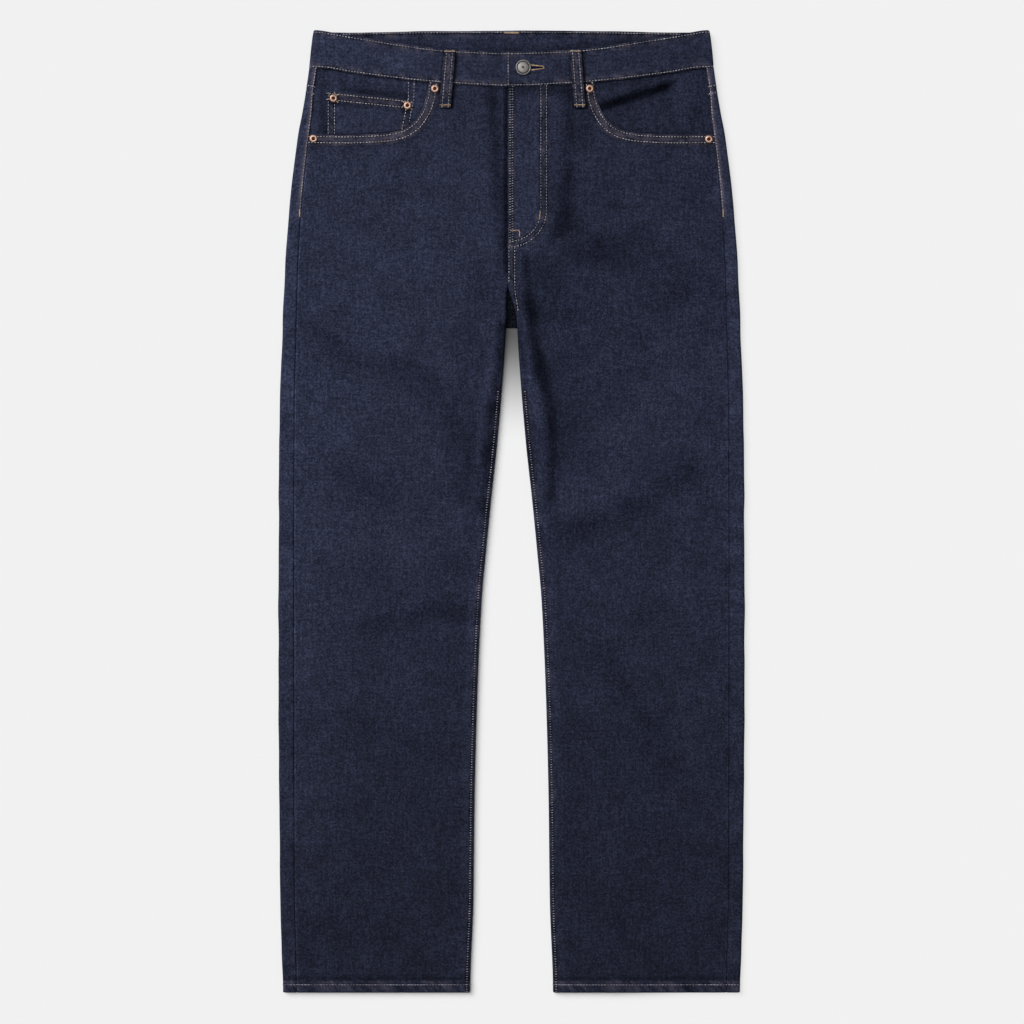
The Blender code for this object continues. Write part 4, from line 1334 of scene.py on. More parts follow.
def stitch_tree():
    """A tree that lays short rounded threads end to end along every line of a guide mesh."""
    sizes = dict.fromkeys(("Pitch", "Length", "Width", "Height", "Turn", "Scatter"), "Float")
    tree, source = new_tree("Stitches", {**sizes, "Seed": "Int", "Thread": "Material"})
    curve = add(tree, "GeometryNodeMeshToCurve", {"Mesh": source["Geometry"]})
    points = add(tree, "GeometryNodeResampleCurve", {"Curve": curve, "Length": source["Pitch"]},
                 mode="LENGTH")
    facing = add(tree, "FunctionNodeAlignRotationToVector",
                 {"Vector": add(tree, "GeometryNodeInputTangent")}, axis="X")
    spread = add(tree, "ShaderNodeMath", {0: source["Scatter"], 1: -1.0}, operation="MULTIPLY")
    wobble, growth, tone = [
        add(tree, "FunctionNodeRandomValue", {2: low, 3: high, "Seed": source["Seed"]},
            data_type="FLOAT").outputs[1]
        for low, high in ((spread, source["Scatter"]), (0.85, 1.12), (0.0, 1.0))
    ]
    angle = add(tree, "ShaderNodeMath", {0: source["Turn"], 1: wobble}, operation="ADD")
    ball = add(tree, "GeometryNodeMeshUVSphere", {"Segments": 6, "Rings": 4, "Radius": 0.5})
    size = add(tree, "ShaderNodeCombineXYZ",
               {"X": source["Height"], "Y": source["Width"], "Z": source["Length"]})
    thread = add(tree, "GeometryNodeTransform", {"Geometry": ball, "Scale": size})
    lying = add(tree, "GeometryNodeTransform", {"Geometry": thread, "Rotation": (0.0, ACROSS, 0.0)})
    laid = add(tree, "GeometryNodeInstanceOnPoints",
               {"Points": points, "Instance": lying, "Rotation": stood_up(tree, angle, facing),
                "Scale": growth})
    named = add(tree, "GeometryNodeStoreNamedAttribute", {"Geometry": laid, "Name": "tone", "Value": tone},
                data_type="FLOAT", domain="INSTANCE")
    return end_tree(tree, named, source["Thread"])


def rivet_tree():
    """A tree that seats a copy of one metal piece on every point of a guide mesh."""
    tree, source = new_tree("Rivets", {"Rivet": "Object", "Seed": "Int", "Metal": "Material"})
    info = add(tree, "GeometryNodeObjectInfo", {"Object": source["Rivet"]})
    angle = add(tree, "FunctionNodeRandomValue", {2: 0.0, 3: math.tau, "Seed": source["Seed"]},
                data_type="FLOAT").outputs[1]
    laid = add(tree, "GeometryNodeInstanceOnPoints",
               {"Points": source["Geometry"], "Instance": info.outputs["Geometry"],
                "Rotation": stood_up(tree, angle)})
    return end_tree(tree, laid, source["Metal"])


def grow(name, points, normals, edges, tree, values):
    """A plain mesh that a tree makes from guide points, each with the way up of the cloth there."""
    mesh = bpy.data.meshes.new(name)
    mesh.from_pydata((points * MM).tolist(), edges, [])
    up = mesh.attributes.new("up", "FLOAT_VECTOR", "POINT")
    up.data.foreach_set("vector", normals.astype(np.float32).reshape(-1))
    obj = linked(name, mesh)
    modifier = obj.modifiers.new("Growth", "NODES")
    modifier.node_group = tree
    for item in tree.interface.items_tree:
        if item.name in values:
            modifier[item.identifier] = values[item.name]
    settle(obj)
    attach(obj, "root")
    return obj


Trail = namedtuple("Trail", "points normals")
Thread = namedtuple("Thread", "pitch length width height turn scatter finish")

# The turn of a thread that lies across its row.
ACROSS = math.pi / 2.0

SEAM_BARS = Thread(2.9, 2.2, 1.0, 0.5, ACROSS, 0.12, "seam_thread")
HEM_THREAD = Thread(3.45, 3.3, 0.8, 0.7, 0.0, 0.04, "seam_thread")
TACK = Thread(0.5, 1.5, 0.55, 0.5, ACROSS, 0.12, "bartack")
BUTTONHOLE_THREAD = Thread(0.55, 1.5, 0.6, 0.5, ACROSS, 0.2, "bartack")
CENTRE_TACK = Thread(0.5, 2.4, 0.62, 0.6, ACROSS, 0.1, "bartack")


def stitch(name, trails, thread, seed):
    """A plain mesh of all the stitches along the trails, each a line of points on cloth with its normals."""
    points = np.concatenate([trail.points + trail.normals * thread.height * 0.3 for trail in trails])
    # What the garment lies on presses the thread into the cloth.
    points[:, 2] = np.maximum(points[:, 2], 0.3 * thread.height)
    normals = np.concatenate([trail.normals for trail in trails])
    edges = []
    first = 0
    for trail in trails:
        edges += [(first + i, first + i + 1) for i in range(len(trail.points) - 1)]
        first += len(trail.points)
    values = {"Pitch": thread.pitch * MM, "Length": thread.length * MM, "Width": thread.width * MM,
              "Height": thread.height * MM, "Turn": thread.turn, "Scatter": thread.scatter,
              "Seed": seed, "Thread": MATERIALS[thread.finish]}
    grow(name, points, normals, edges, TREES["stitches"], values)


def drop(line, names, from_below=False, step=1.2):
    """Lays a line of (x, height) on whichever of the cloths is outermost there."""
    sign = -1.0 if from_below else 1.0
    trees = [BVHTree.FromPolygons(LAID[name].points.reshape(-1, 3).tolist(),
                                  grid_faces(LAID[name].points).tolist()) for name in names]
    stretches = [[]]
    for x, height in resample(line, step):
        hits = [tree.ray_cast(Vector((x, HEM_Y + height, 60.0 * sign)), Vector((0.0, 0.0, -sign)))
                for tree in trees]
        hits = [hit for hit in hits if hit[0] is not None]
        if hits:
            point, normal, *_ = max(hits, key=lambda hit: hit[0].z * sign)
            stretches[-1].append((point, normal if normal.z * sign > 0.0 else -normal))
        else:
            stretches.append([])
    return [Trail(*np.array(stretch).transpose(1, 0, 2)) for stretch in stretches if len(stretch) > 1]


def sew(lines, names, **how):
    """The trails of several lines, dropped on the same cloths."""
    return [trail for line in lines for trail in drop(line, names, **how)]


def round_cloth(name, heights):
    """A trail across a cloth from its first column to its last, at a height for each column."""
    cloth = LAID[name]
    columns = cloth.points.shape[1]
    heights = np.broadcast_to(heights, (columns,))
    lines = np.zeros((2, columns, 3))
    for j in range(columns):
        keys = cloth.points[:, j, 1] - HEM_Y
        start = int(np.argmin(keys))
        for line, grid in zip(lines, cloth):
            for k in range(3):
                line[j, k] = np.interp(heights[j], keys[start:], grid[start:, j, k])
    points, normals = lines
    return Trail(points, normals / np.linalg.norm(normals, axis=1, keepdims=True))


# ----------------------------------------------------------
# Materials.

MATERIALS = {}
TREES = {}


def material(name):
    """A new material with its tree and its shader."""
    made = bpy.data.materials.new(name)
    made.use_nodes = True
    return made, made.node_tree, made.node_tree.nodes["Principled BSDF"]


def weave(tree):
    """Denim's threads: its grain, its pale flecks, its ribs of twill and its slubs."""
    cloth = add(tree, "ShaderNodeUVMap", uv_map="cloth")
    grid = {
        way: add(tree, "ShaderNodeMapping", {"Vector": cloth, "Scale": (across, along, 1.0),
                                             "Rotation": (0.0, 0.0, math.radians(turn))})
        for way, across, along, turn in (("even", 1000.0, 1000.0, 0.0), ("warp", 1000.0, 90.0, 0.0),
                                         ("weft", 90.0, 1000.0, 0.0), ("twill", 1000.0, 1000.0, 58.0))
    }
    # The flecks are drawn a few threads wide, since single threads are too fine to show.
    patterns = []
    for way, scale, detail, roughness, low, high in (
            ("even", 0.37, 0.7, 0.5, 0.0, 1.0), ("warp", 0.42, 1.0, 0.6, 0.84, 1.16),
            ("weft", 0.42, 1.0, 0.6, 0.88, 1.12), ("even", 0.022, 3.0, 0.6, 0.86, 1.14)):
        noise = add(tree, "ShaderNodeTexNoise", {"Vector": grid[way], "Scale": scale, "Detail": detail,
                                                 "Roughness": roughness}, noise_dimensions="2D")
        patterns.append(add(tree, "ShaderNodeMapRange", {"Value": noise, "From Min": 0.3, "From Max": 0.7,
                                                         "To Min": low, "To Max": high}))
    grain, *slubs = patterns
    cells = add(tree, "ShaderNodeTexVoronoi", {"Vector": grid["even"], "Scale": 0.72},
                voronoi_dimensions="2D")
    single = add(tree, "ShaderNodeSeparateXYZ", {0: cells.outputs["Color"]})
    flecks = add(tree, "ShaderNodeMath", {0: single, 1: 1.5}, operation="POWER")
    wale = add(tree, "ShaderNodeTexWave", {"Vector": grid["twill"], "Scale": 0.314 / 0.95,
                                           "Distortion": 0.6, "Detail": 1.0, "Detail Scale": 2.0})
    ribs = add(tree, "ShaderNodeMapRange", {"Value": wale.outputs["Fac"], "To Min": 0.9, "To Max": 1.1})
    return grain, flecks, ribs, slubs


def denim(name, dark, pale, rubbed, shade_at_hem):
    """Woven cotton denim, rinsed once: indigo warp over pale weft, matt, with slubs and pale flecks."""
    made, tree, shader = material(name)
    grain, flecks, ribs, slubs = weave(tree)
    where = add(tree, "ShaderNodeSeparateXYZ", {0: add(tree, "ShaderNodeTexCoord").outputs["Object"]})
    # Painted shade: the cloth darkens from the waist down towards the hems.
    falloff = add(tree, "ShaderNodeMapRange",
               {"Value": where.outputs["Y"], "From Min": CAD_LOW.y, "From Max": CAD_HIGH.y * 0.5,
                "To Min": shade_at_hem, "To Max": 1.0}, interpolation_type="SMOOTHSTEP")
    # Painted light: the cloth is lighter on the wearer's right, towards the key light, and darker on the
    # left.
    sideways = add(tree, "ShaderNodeMapRange", {"Value": where, "From Min": CAD_LOW.x,
                                                "From Max": CAD_HIGH.x, "To Min": 1.07, "To Max": 0.93})
    # The shade and highlight painted on the cloth, with some uneven colour, as a natural logarithm; then how
    # rubbed it is.
    shade_and_tone_log, worn = [add(tree, "ShaderNodeAttribute", attribute_name=name).outputs["Fac"]
                  for name in ("tone", "rub")]
    shade_and_tone_factor = add(tree, "ShaderNodeMath", {0: shade_and_tone_log}, operation="EXPONENT")
    tone = ribs
    for factor in (*slubs, falloff, sideways, shade_and_tone_factor):
        tone = add(tree, "ShaderNodeMath", {0: tone, 1: factor}, operation="MULTIPLY")
    woven = add(tree, "ShaderNodeMix", {0: flecks, 6: dark, 7: pale}, data_type="RGBA").outputs[2]
    colour = add(tree, "ShaderNodeMix", {0: worn, 6: woven, 7: rubbed}, data_type="RGBA").outputs[2]
    shaded = add(tree, "ShaderNodeVectorMath", {0: colour, "Scale": tone}, operation="SCALE")
    # The twill's bump, then reflection and sheen dimmed where shade is painted.
    relief, gloss, sheen = [
        add(tree, "ShaderNodeMath", {0: first, 1: second}, operation="MULTIPLY")
        for first, second in ((grain, ribs), (shade_and_tone_factor, 0.1), (shade_and_tone_factor, 0.04))
    ]
    bump = add(tree, "ShaderNodeBump", {"Height": relief, "Strength": 0.3, "Distance": 0.00025})
    fill(tree, shader, {"Base Color": shaded, "Normal": bump, "Roughness": 0.86,
                        "Specular IOR Level": gloss, "Sheen Weight": sheen, "Sheen Roughness": 0.5,
                        "Sheen Tint": linear("#8C96B8")})
    return made


def thread_finish(name, colour):
    """Spun polyester and cotton thread, twisted: soft sheen, and each stitch a little different."""
    made, tree, shader = material(name)
    tone = add(tree, "ShaderNodeAttribute", attribute_name="tone")
    value = add(tree, "ShaderNodeMapRange", {"Value": tone.outputs["Fac"], "To Min": 0.66, "To Max": 1.15})
    where = add(tree, "ShaderNodeTexCoord").outputs["Object"]
    # Painted shade that varies along the rows as they sink into the cloth, then the thread's own fibres.
    for scale, near, far, low, high in ((45.0, 0.35, 0.65, 0.7, 1.25), (2600.0, 0.0, 1.0, 0.8, 1.2)):
        noise = add(tree, "ShaderNodeTexNoise", {"Vector": where, "Scale": scale, "Detail": 1.0})
        factor = add(tree, "ShaderNodeMapRange", {"Value": noise, "From Min": near, "From Max": far,
                                                  "To Min": low, "To Max": high})
        value = add(tree, "ShaderNodeMath", {0: value, 1: factor}, operation="MULTIPLY")
    paint = add(tree, "ShaderNodeVectorMath", {0: colour[:3], "Scale": value}, operation="SCALE")
    fill(tree, shader, {"Base Color": paint, "Roughness": 0.6, "Sheen Weight": 0.2})
    return made


def metal(name, colour, dirt, roughness, grain_mm):
    """Plated brass, antiqued by tumbling: darker in its hollows and finely scratched."""
    made, tree, shader = material(name)
    where = add(tree, "ShaderNodeTexCoord").outputs["Object"]
    scratch = add(tree, "ShaderNodeTexNoise", {"Vector": where, "Scale": 1.0 / (grain_mm * MM),
                                               "Detail": 3.0, "Roughness": 0.65})
    hollow = add(tree, "ShaderNodeAttribute", attribute_name="hollow").outputs["Fac"]
    amount = add(tree, "ShaderNodeMapRange", {"Value": scratch, "From Min": 0.35, "From Max": 0.7,
                                              "To Min": 0.0, "To Max": 0.45})
    both = add(tree, "ShaderNodeMath", {0: amount, 1: hollow}, operation="ADD", use_clamp=True)
    paint = add(tree, "ShaderNodeMix", {0: both, 6: colour, 7: dirt}, data_type="RGBA").outputs[2]
    rough = add(tree, "ShaderNodeMapRange", {"Value": both, "To Min": roughness,
                                             "To Max": min(roughness + 0.3, 1.0)})
    bump = add(tree, "ShaderNodeBump", {"Height": scratch, "Strength": 0.25, "Distance": 0.0001})
    fill(tree, shader, {"Base Color": paint, "Roughness": rough, "Normal": bump, "Metallic": 1.0})
    return made


def zip_tape_finish():
    """Woven polyester tape in herringbone: fine ribs, slightly glossy."""
    made, tree, shader = material("Zip tape, woven polyester")
    cloth = add(tree, "ShaderNodeUVMap", uv_map="cloth")
    mapped = add(tree, "ShaderNodeMapping", {"Vector": cloth, "Scale": (1000.0, 1000.0, 1.0)})
    rib = add(tree, "ShaderNodeTexWave", {"Vector": mapped, "Scale": 0.314 / 0.8}).outputs["Fac"]
    paint = add(tree, "ShaderNodeMix", {0: rib, 6: linear("#14161F"), 7: linear("#252A3C")},
                data_type="RGBA").outputs[2]
    fill(tree, shader, {"Base Color": paint, "Roughness": 0.55})
    return made


def floor_finish(colour):
    """Matt studio paper with a trace of tooth, a painted shadow below the crotch and a painted glow beside
    the left leg.
    """
    made, tree, shader = material("Studio paper, matt")
    where = add(tree, "ShaderNodeTexCoord").outputs["Object"]
    tooth = add(tree, "ShaderNodeTexNoise", {"Vector": where, "Scale": 400.0, "Detail": 2.0})
    bump = add(tree, "ShaderNodeBump", {"Height": tooth, "Strength": 0.02, "Distance": 0.0001})
    # Painted shadow on the floor just below the crotch, where the piled-up seams would shade it.
    from_crotch = add(tree, "ShaderNodeVectorMath", {0: where, 1: (0.0, (HEM_Y + CROTCH) * MM, 0.0)},
                      operation="DISTANCE").outputs["Value"]
    shade = add(tree, "ShaderNodeMapRange", {"Value": from_crotch, "From Max": 0.135, "To Min": 0.12},
                interpolation_type="SMOOTHSTEP")
    # A painted glow on the floor beside the garment's left leg, which keeps the shadow there short.
    glow = 0.65
    through, matt = [
        add(tree, "ShaderNodeMapRange", {"Value": add(tree, "ShaderNodeSeparateXYZ", {0: where}),
                                         "From Min": 0.12, "From Max": 0.2, "To Min": low, "To Max": high})
        for low, high in ((0.0, glow * PAINTED_FLOOR_GLOW), (1.0, 1.0 - glow))
    ]
    share = add(tree, "ShaderNodeMath", {0: shade, 1: matt}, operation="MULTIPLY")
    paint = add(tree, "ShaderNodeVectorMath", {0: colour[:3], "Scale": share}, operation="SCALE")
    fill(tree, shader, {"Base Color": paint, "Normal": bump, "Roughness": 1.0, "Specular IOR Level": 0.0,
                        "Emission Color": colour, "Emission Strength": through})
    return made


# ----------------------------------------------------------
# Metal.

def turned_mesh(name, profile, steps, hollows):
    """A round piece: a profile of (radius, height) turned about the upright line at the origin."""
    bm = bmesh.new()
    layer = bm.verts.layers.float.new("hollow")
    rings = []
    for (ring_radius, z), hollow in zip(profile[1:-1], hollows[1:-1]):
        ring = []
        for i in range(steps):
            angle = math.tau * i / steps
            vert = bm.verts.new((ring_radius * MM * math.cos(angle), ring_radius * MM * math.sin(angle),
                                 z * MM))
            vert[layer] = hollow
            ring.append(vert)
        rings.append(ring)
    foot = bm.verts.new((0.0, 0.0, profile[0][1] * MM))
    crown = bm.verts.new((0.0, 0.0, profile[-1][1] * MM))
    crown[layer] = hollows[-1]
    for i in range(steps):
        j = (i + 1) % steps
        bm.faces.new((foot, rings[0][j], rings[0][i]))
        bm.faces.new((crown, rings[-1][i], rings[-1][j]))
        for low, high in zip(rings, rings[1:]):
            bm.faces.new((low[i], low[j], high[j], high[i]))
    mesh = bpy.data.meshes.new(name)
    bm.to_mesh(mesh)
    bm.free()
    mesh.shade_smooth()
    return mesh


def smooth_profile(corners, steps):
    """A profile rounded through its corners, with its two ends kept."""
    corners = np.array(corners, float)
    for _ in range(steps):
        cut = [corners[0]]
        for a, b in zip(corners[:-1], corners[1:]):
            cut += [mix(a, b, 0.25), mix(a, b, 0.75)]
        cut.append(corners[-1])
        corners = np.array(cut)
    return corners


def button_piece():
    """A shank button: a rimmed cap with a shallow ring and a low dome, on its shank."""
    foot = BAND_FRONT - BAND_LAP_DROP + GAP
    seat = BAND_FRONT + BAND_LAP_RISE + GAP
    r = BUTTON_RADIUS
    stem = [(0.0, foot), (2.0, foot), (2.0, seat), (r - 0.9, seat), (r, seat + 0.35)]
    cap = [(r, seat + 1.25), (r - 0.5, seat + 1.75), (r - 1.3, seat + 1.75), (r - 1.75, seat + 1.3),
           (r - 2.4, seat + 1.3), (r - 3.3, seat + 1.75), (r - 5.4, seat + 2.05), (1.6, seat + 2.2),
           (1.1, seat + 2.0), (0.0, seat + 1.95)]
    profile = smooth_profile(stem + cap, 2)
    ring = bell(profile[:, 0] - (r - 2.0), 0.5) * (profile[:, 1] > seat + 1.0)
    centre = bell(profile[:, 0], 1.3) * (profile[:, 1] > seat + 1.0)
    mesh = turned_mesh("button_metal", profile, 64, 0.8 * ring + 0.8 * centre)
    mesh.transform(Matrix.Translation((BUTTON.offset * MM, (HEM_Y + BUTTON.height) * MM, 0.0)))
    mesh.materials.append(MATERIALS["button_metal"])
    obj = linked("button_metal", mesh)
    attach(obj, "root")
    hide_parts("waist_button")


def rivet_piece():
    """Six pressed rivets: a raised burr ring round a sunk, darkened post."""
    r = RIVET_RADIUS
    corners = [(0.0, -0.5), (r - 0.3, -0.5), (r, -0.1), (r - 0.1, 0.35), (r - 1.0, 0.95), (2.5, 1.1),
               (1.75, 0.75), (1.5, 0.25), (1.0, 0.3), (0.0, 0.5)]
    profile = smooth_profile(corners, 2)
    hollows = np.where((profile[:, 0] < 1.9) & (profile[:, 1] > 0.0), 0.85, 0.0)
    template = linked("rivet_template", turned_mesh("rivet_template", profile, 28, hollows))
    points = []
    normals = []
    for _, x, height, cloth in RIVETS:
        trail = drop([(x - 0.5, height), (x + 0.5, height)], [cloth], step=0.5)[0]
        points.append(trail.points.mean(axis=0) + (0.0, 0.0, 0.25))
        normals.append(0.25 * trail.normals.mean(axis=0) + (0.0, 0.0, 0.75))
    obj = grow("rivets_copper", np.array(points), np.array(normals), [], TREES["rivets"],
               {"Rivet": template, "Seed": 4, "Metal": MATERIALS["rivet_copper"]})
    bpy.data.objects.remove(template)
    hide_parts(*[rivet[0] for rivet in RIVETS])


# ----------------------------------------------------------
# Settings, operators and panel.

def colour_setting(name, description, code):
    return bpy.props.FloatVectorProperty(name=name, description=description, default=linear(code),
                                         subtype="COLOR", size=4, min=0.0, max=1.0)


def number_setting(name, description, value):
    return bpy.props.FloatProperty(name=name, description=description, default=value)


def length_setting(name, description, metres):
    return bpy.props.FloatProperty(name=name, description=description, default=metres,
                                   subtype="DISTANCE", unit="LENGTH")


class JeansColours(bpy.types.PropertyGroup):
    """The colours of the cloth, threads and metal."""
    rubbed: colour_setting("Denim, rubbed", "Where seams and hems are rubbed pale", "#675C63")
    denim_dark: colour_setting("Denim, dark", "Indigo warp in the shade of the twill", "#1A1E2F")
    denim_pale: colour_setting("Denim, pale", "Where the pale weft shows between the warp", "#33384E")
    reverse_dark: colour_setting("Reverse, dark", "Warp on the cloth's inside", "#232736")
    reverse_pale: colour_setting("Reverse, pale", "Weft on the cloth's inside", "#5A6074")
    topstitch: colour_setting("Topstitch", "Pale thread of the seams", "#9D9BA4")
    seam_thread: colour_setting("Seam thread", "Quieter thread of the fly, inseams and hems", "#8C8D9C")
    bartack: colour_setting("Bartack", "Gold thread of the tacks and the buttonhole", "#BF9F78")
    copper: colour_setting("Copper", "Plating of the rivets", "#BC9C8C")
    antique: colour_setting("Antique metal", "Plating of the button", "#8C8986")


class JeansSizes(bpy.types.PropertyGroup):
    """The sizes of the stitches."""
    pitch: length_setting("Stitch pitch", "From one topstitch to the next", 3.45 * MM)
    stitch_length: length_setting("Stitch length", "Thread that shows of one topstitch", 2.55 * MM)
    thread: length_setting("Thread", "Thickness of the topstitch thread", 1.08 * MM)
    tack: length_setting("Loop tack", "Length of the threads that tack a belt loop", 1.1 * MM)


class JeansStage(bpy.types.PropertyGroup):
    """The camera, floor and light."""
    lens: number_setting("Lens", "Focal length in millimetres", 85.0)
    distance: length_setting("Camera height", "From the surface up to the camera", 2.7815)
    key: number_setting("Key light", "Strength of the light from the upper left", 2.35)
    fill: number_setting("Fill light", "Strength of the light from straight above", 1.33)
    air: number_setting("Ambient light", "Strength of the light from all round", 0.08)
    paper: colour_setting("Floor", "Colour of the floor", "#F3F3F3")


class JEANS_OT_finishes(bpy.types.Operator):
    """Make the materials and the node trees that the pieces share"""
    bl_idname = "jeans.finishes"
    bl_label = "Finishes"

    def execute(self, context):
        colours = context.scene.jeans_colours
        paint = {key: tuple(getattr(colours, key)) for key in JeansColours.__annotations__}
        MATERIALS.update(
            denim=denim("Denim, rinsed indigo twill", paint["denim_dark"], paint["denim_pale"],
                        paint["rubbed"], 0.54),
            denim_reverse=denim("Denim, pale reverse of the twill", paint["reverse_dark"],
                                paint["reverse_pale"], paint["rubbed"], 0.8),
            topstitch=thread_finish("Topstitch thread, spun polyester", paint["topstitch"]),
            seam_thread=thread_finish("Seam thread, core spun, indigo stained", paint["seam_thread"]),
            bartack=thread_finish("Bartack thread, spun polyester", paint["bartack"]),
            button_metal=metal("Brass, antique nickel plate, tumbled", paint["antique"],
                               linear("#2C2C30"), 0.5, 1.3),
            rivet_copper=metal("Copper plate, satin, darkened post", paint["copper"],
                               linear("#52291C"), 0.46, 0.9),
            zip_tape=zip_tape_finish())
        TREES.update(stitches=stitch_tree(), rivets=rivet_tree())
        return {"FINISHED"}


class JEANS_OT_backs(bpy.types.Operator):
    """Lay the back panels, yokes and patch pockets"""
    bl_idname = "jeans.backs"
    bl_label = "Backs"

    def execute(self, context):
        for label, side in SIDES.items():
            patch_piece(side, label)
            back_piece(side, label)
            yoke_piece(side, label)
        return {"FINISHED"}


class JEANS_OT_pockets(bpy.types.Operator):
    """Lay the pocket facings and the coin pocket"""
    bl_idname = "jeans.pockets"
    bl_label = "Pockets"

    def execute(self, context):
        for label, side in SIDES.items():
            facing_piece(side, label)
        coin_piece()
        return {"FINISHED"}


class JEANS_OT_fronts(bpy.types.Operator):
    """Lay the front panels, the fly facing and the zip tape"""
    bl_idname = "jeans.fronts"
    bl_label = "Fronts"

    def execute(self, context):
        for label, side in SIDES.items():
            front_piece(side, label)
        fly_facing_piece()
        zip_piece()
        return {"FINISHED"}


class JEANS_OT_waistband(bpy.types.Operator):
    """Lay the waistband and cut its buttonhole"""
    bl_idname = "jeans.waistband"
    bl_label = "Waistband"

    def execute(self, context):
        band_piece()
        return {"FINISHED"}


class JEANS_OT_loops(bpy.types.Operator):
    """Lay the belt loops"""
    bl_idname = "jeans.loops"
    bl_label = "Belt loops"

    def execute(self, context):
        for label in FRONT_LOOPS:
            front_loop_piece(label)
        for label in BACK_LOOPS:
            back_loop_piece(label)
        return {"FINISHED"}


class JEANS_OT_stitching(bpy.types.Operator):
    """Sew the topstitching, bartacks and buttonhole"""
    bl_idname = "jeans.stitching"
    bl_label = "Stitching"

    def execute(self, context):
        sizes = context.scene.jeans_sizes
        thread = sizes.thread / MM
        top = Thread(sizes.pitch / MM, sizes.stitch_length / MM, thread, 0.75 * thread, 0.0, 0.06,
                     "topstitch")
        sew_fronts(top)
        sew_backs(top)
        coin = sew(coin_rows(), ["coin_cloth"]) + sew(COIN_INNER_ROWS, ["facing_cloth_right"])
        stitch("coin_stitches", coin, top, 3)
        sew_band(top)
        sew_loops(top, Thread(0.5, sizes.tack / MM, 0.75, 0.55, ACROSS, 0.14, "bartack"))
        sew_tacks()
        sew_buttonhole()
        return {"FINISHED"}


def sew_fronts(top):
    for name, rows, thread, seed in (("front_stitches", front_rows, top._replace(width=0.85), 1),
                                     ("scoop_stitches", scoop_rows, top._replace(width=1.2), 12),
                                     ("seam_stitches", seam_rows, SEAM_BARS, 10)):
        trails = [trail for label, side in SIDES.items()
                  for trail in sew(rows(side), ["front_cloth_" + label])]
        stitch(name, trails, thread, seed)
    hems = [round_cloth(cloth + label, HEM_STITCH)
            for label in SIDES for cloth in ("front_cloth_", "back_cloth_")]
    stitch("hem_stitches", hems, HEM_THREAD, 11)


def sew_backs(top):
    trails = []
    for label, side in SIDES.items():
        back, yoke, patch = [name + label for name in ("back_cloth_", "yoke_cloth_", "patch_cloth_")]
        height = np.linspace(892.0, 1061.0, 60)
        trails += drop(np.stack([side * (outseam(height) + 1.5), height], axis=1), [back, yoke])
        seam = yoke_seam(np.abs(LAID[back].points[-1, :, 0]))
        trails += [round_cloth(back, seam - 3.4), round_cloth(yoke, seam + 4.6)]
        trails += sew(patch_rows(side), [patch], from_below=True)
        if side > 0.0:
            trails += sew([((inset, 768.0), (inset, 1060.0)) for inset in (2.0, 8.5)], [back, yoke],
                          from_below=True)
    stitch("back_stitches", trails, top, 2)


def sew_band(top):
    low, *_, high = LAID["band_cloth"].points[..., 1] - HEM_Y
    trails = [round_cloth("band_cloth", height)
              for height in (high - BAND_TOP_STITCH, low + BAND_LOW_STITCH)]
    end = BAND_LEFT_END + BAND_END_STITCH
    trails += drop([(end, 1043.0), (end, 1078.0)], ["band_cloth"])
    x = np.linspace(-200.0, 200.0, 90)
    inside = place(x, read(BACK_BAND_TOP, np.abs(x)) - 1.6, BAND_BACK + BAND_WALL + 0.5)
    trails.append(Trail(inside, np.tile([0.0, 0.0, 1.0], (90, 1))))
    stitch("band_stitches", trails, top, 4)


def sew_loops(top, tack):
    """Each loop's two stitched rows and its two tacks."""
    trails = []
    tacks = []
    for label in [*("front_" + label for label in FRONT_LOOPS), *BACK_LOOPS]:
        cloth = LAID["loop_cloth_" + label]
        rows, columns, _ = cloth.points.shape
        line = cloth.points[rows // 2]
        reach = np.concatenate(([0.0], np.cumsum(np.linalg.norm(np.diff(line, axis=0), axis=1))))
        for inset in (LOOP_INSET, reach[-1] - LOOP_INSET):
            j = int(np.argmin(np.abs(reach - inset)))
            trails.append(Trail(cloth.points[2:-2, j], cloth.normals[2:-2, j]))
        heights = cloth.points[:, columns // 2, 1]
        for height in (heights[0] - 1.6, heights[-1] + 3.2):
            row = int(np.argmin(np.abs(heights - height)))
            tacks.append(Trail(cloth.points[row, 3:-3], cloth.normals[row, 3:-3]))
    stitch("loop_stitches", trails, top, 5)
    stitch("loop_tacks", tacks, tack, 6)


def sew_tacks():
    """The tacks of the fly and the outseams, and the knots round the coin pocket's rivets."""
    front = ["front_cloth_left"]
    trails = drop([(33.0, 897.0), (32.0, 888.0)], front)
    trails += sew((((-1.0, 875.0), (9.0, 875.0)), ((9.2, 874.5), (9.2, 868.0))), front, step=0.5)
    for label, side in SIDES.items():
        x = side * (float(outseam(895.0)) + 1.5)
        trails += drop([(x, 899.0), (x, 891.0)], ["back_cloth_" + label], step=0.5)
    for name, x, height, _ in RIVETS:
        if "coin" in name:
            knots = [((x + dx, height + dh), (x + 0.7 * dx, height + 0.7 * dh))
                     for dx, dh in ((-5.2, 4.6), (5.0, 4.4), (-5.6, -1.0), (5.2, -4.6))]
            trails += sew(knots, ["facing_cloth_right", "coin_cloth"], step=0.5)
    stitch("tacks", trails, TACK, 7)


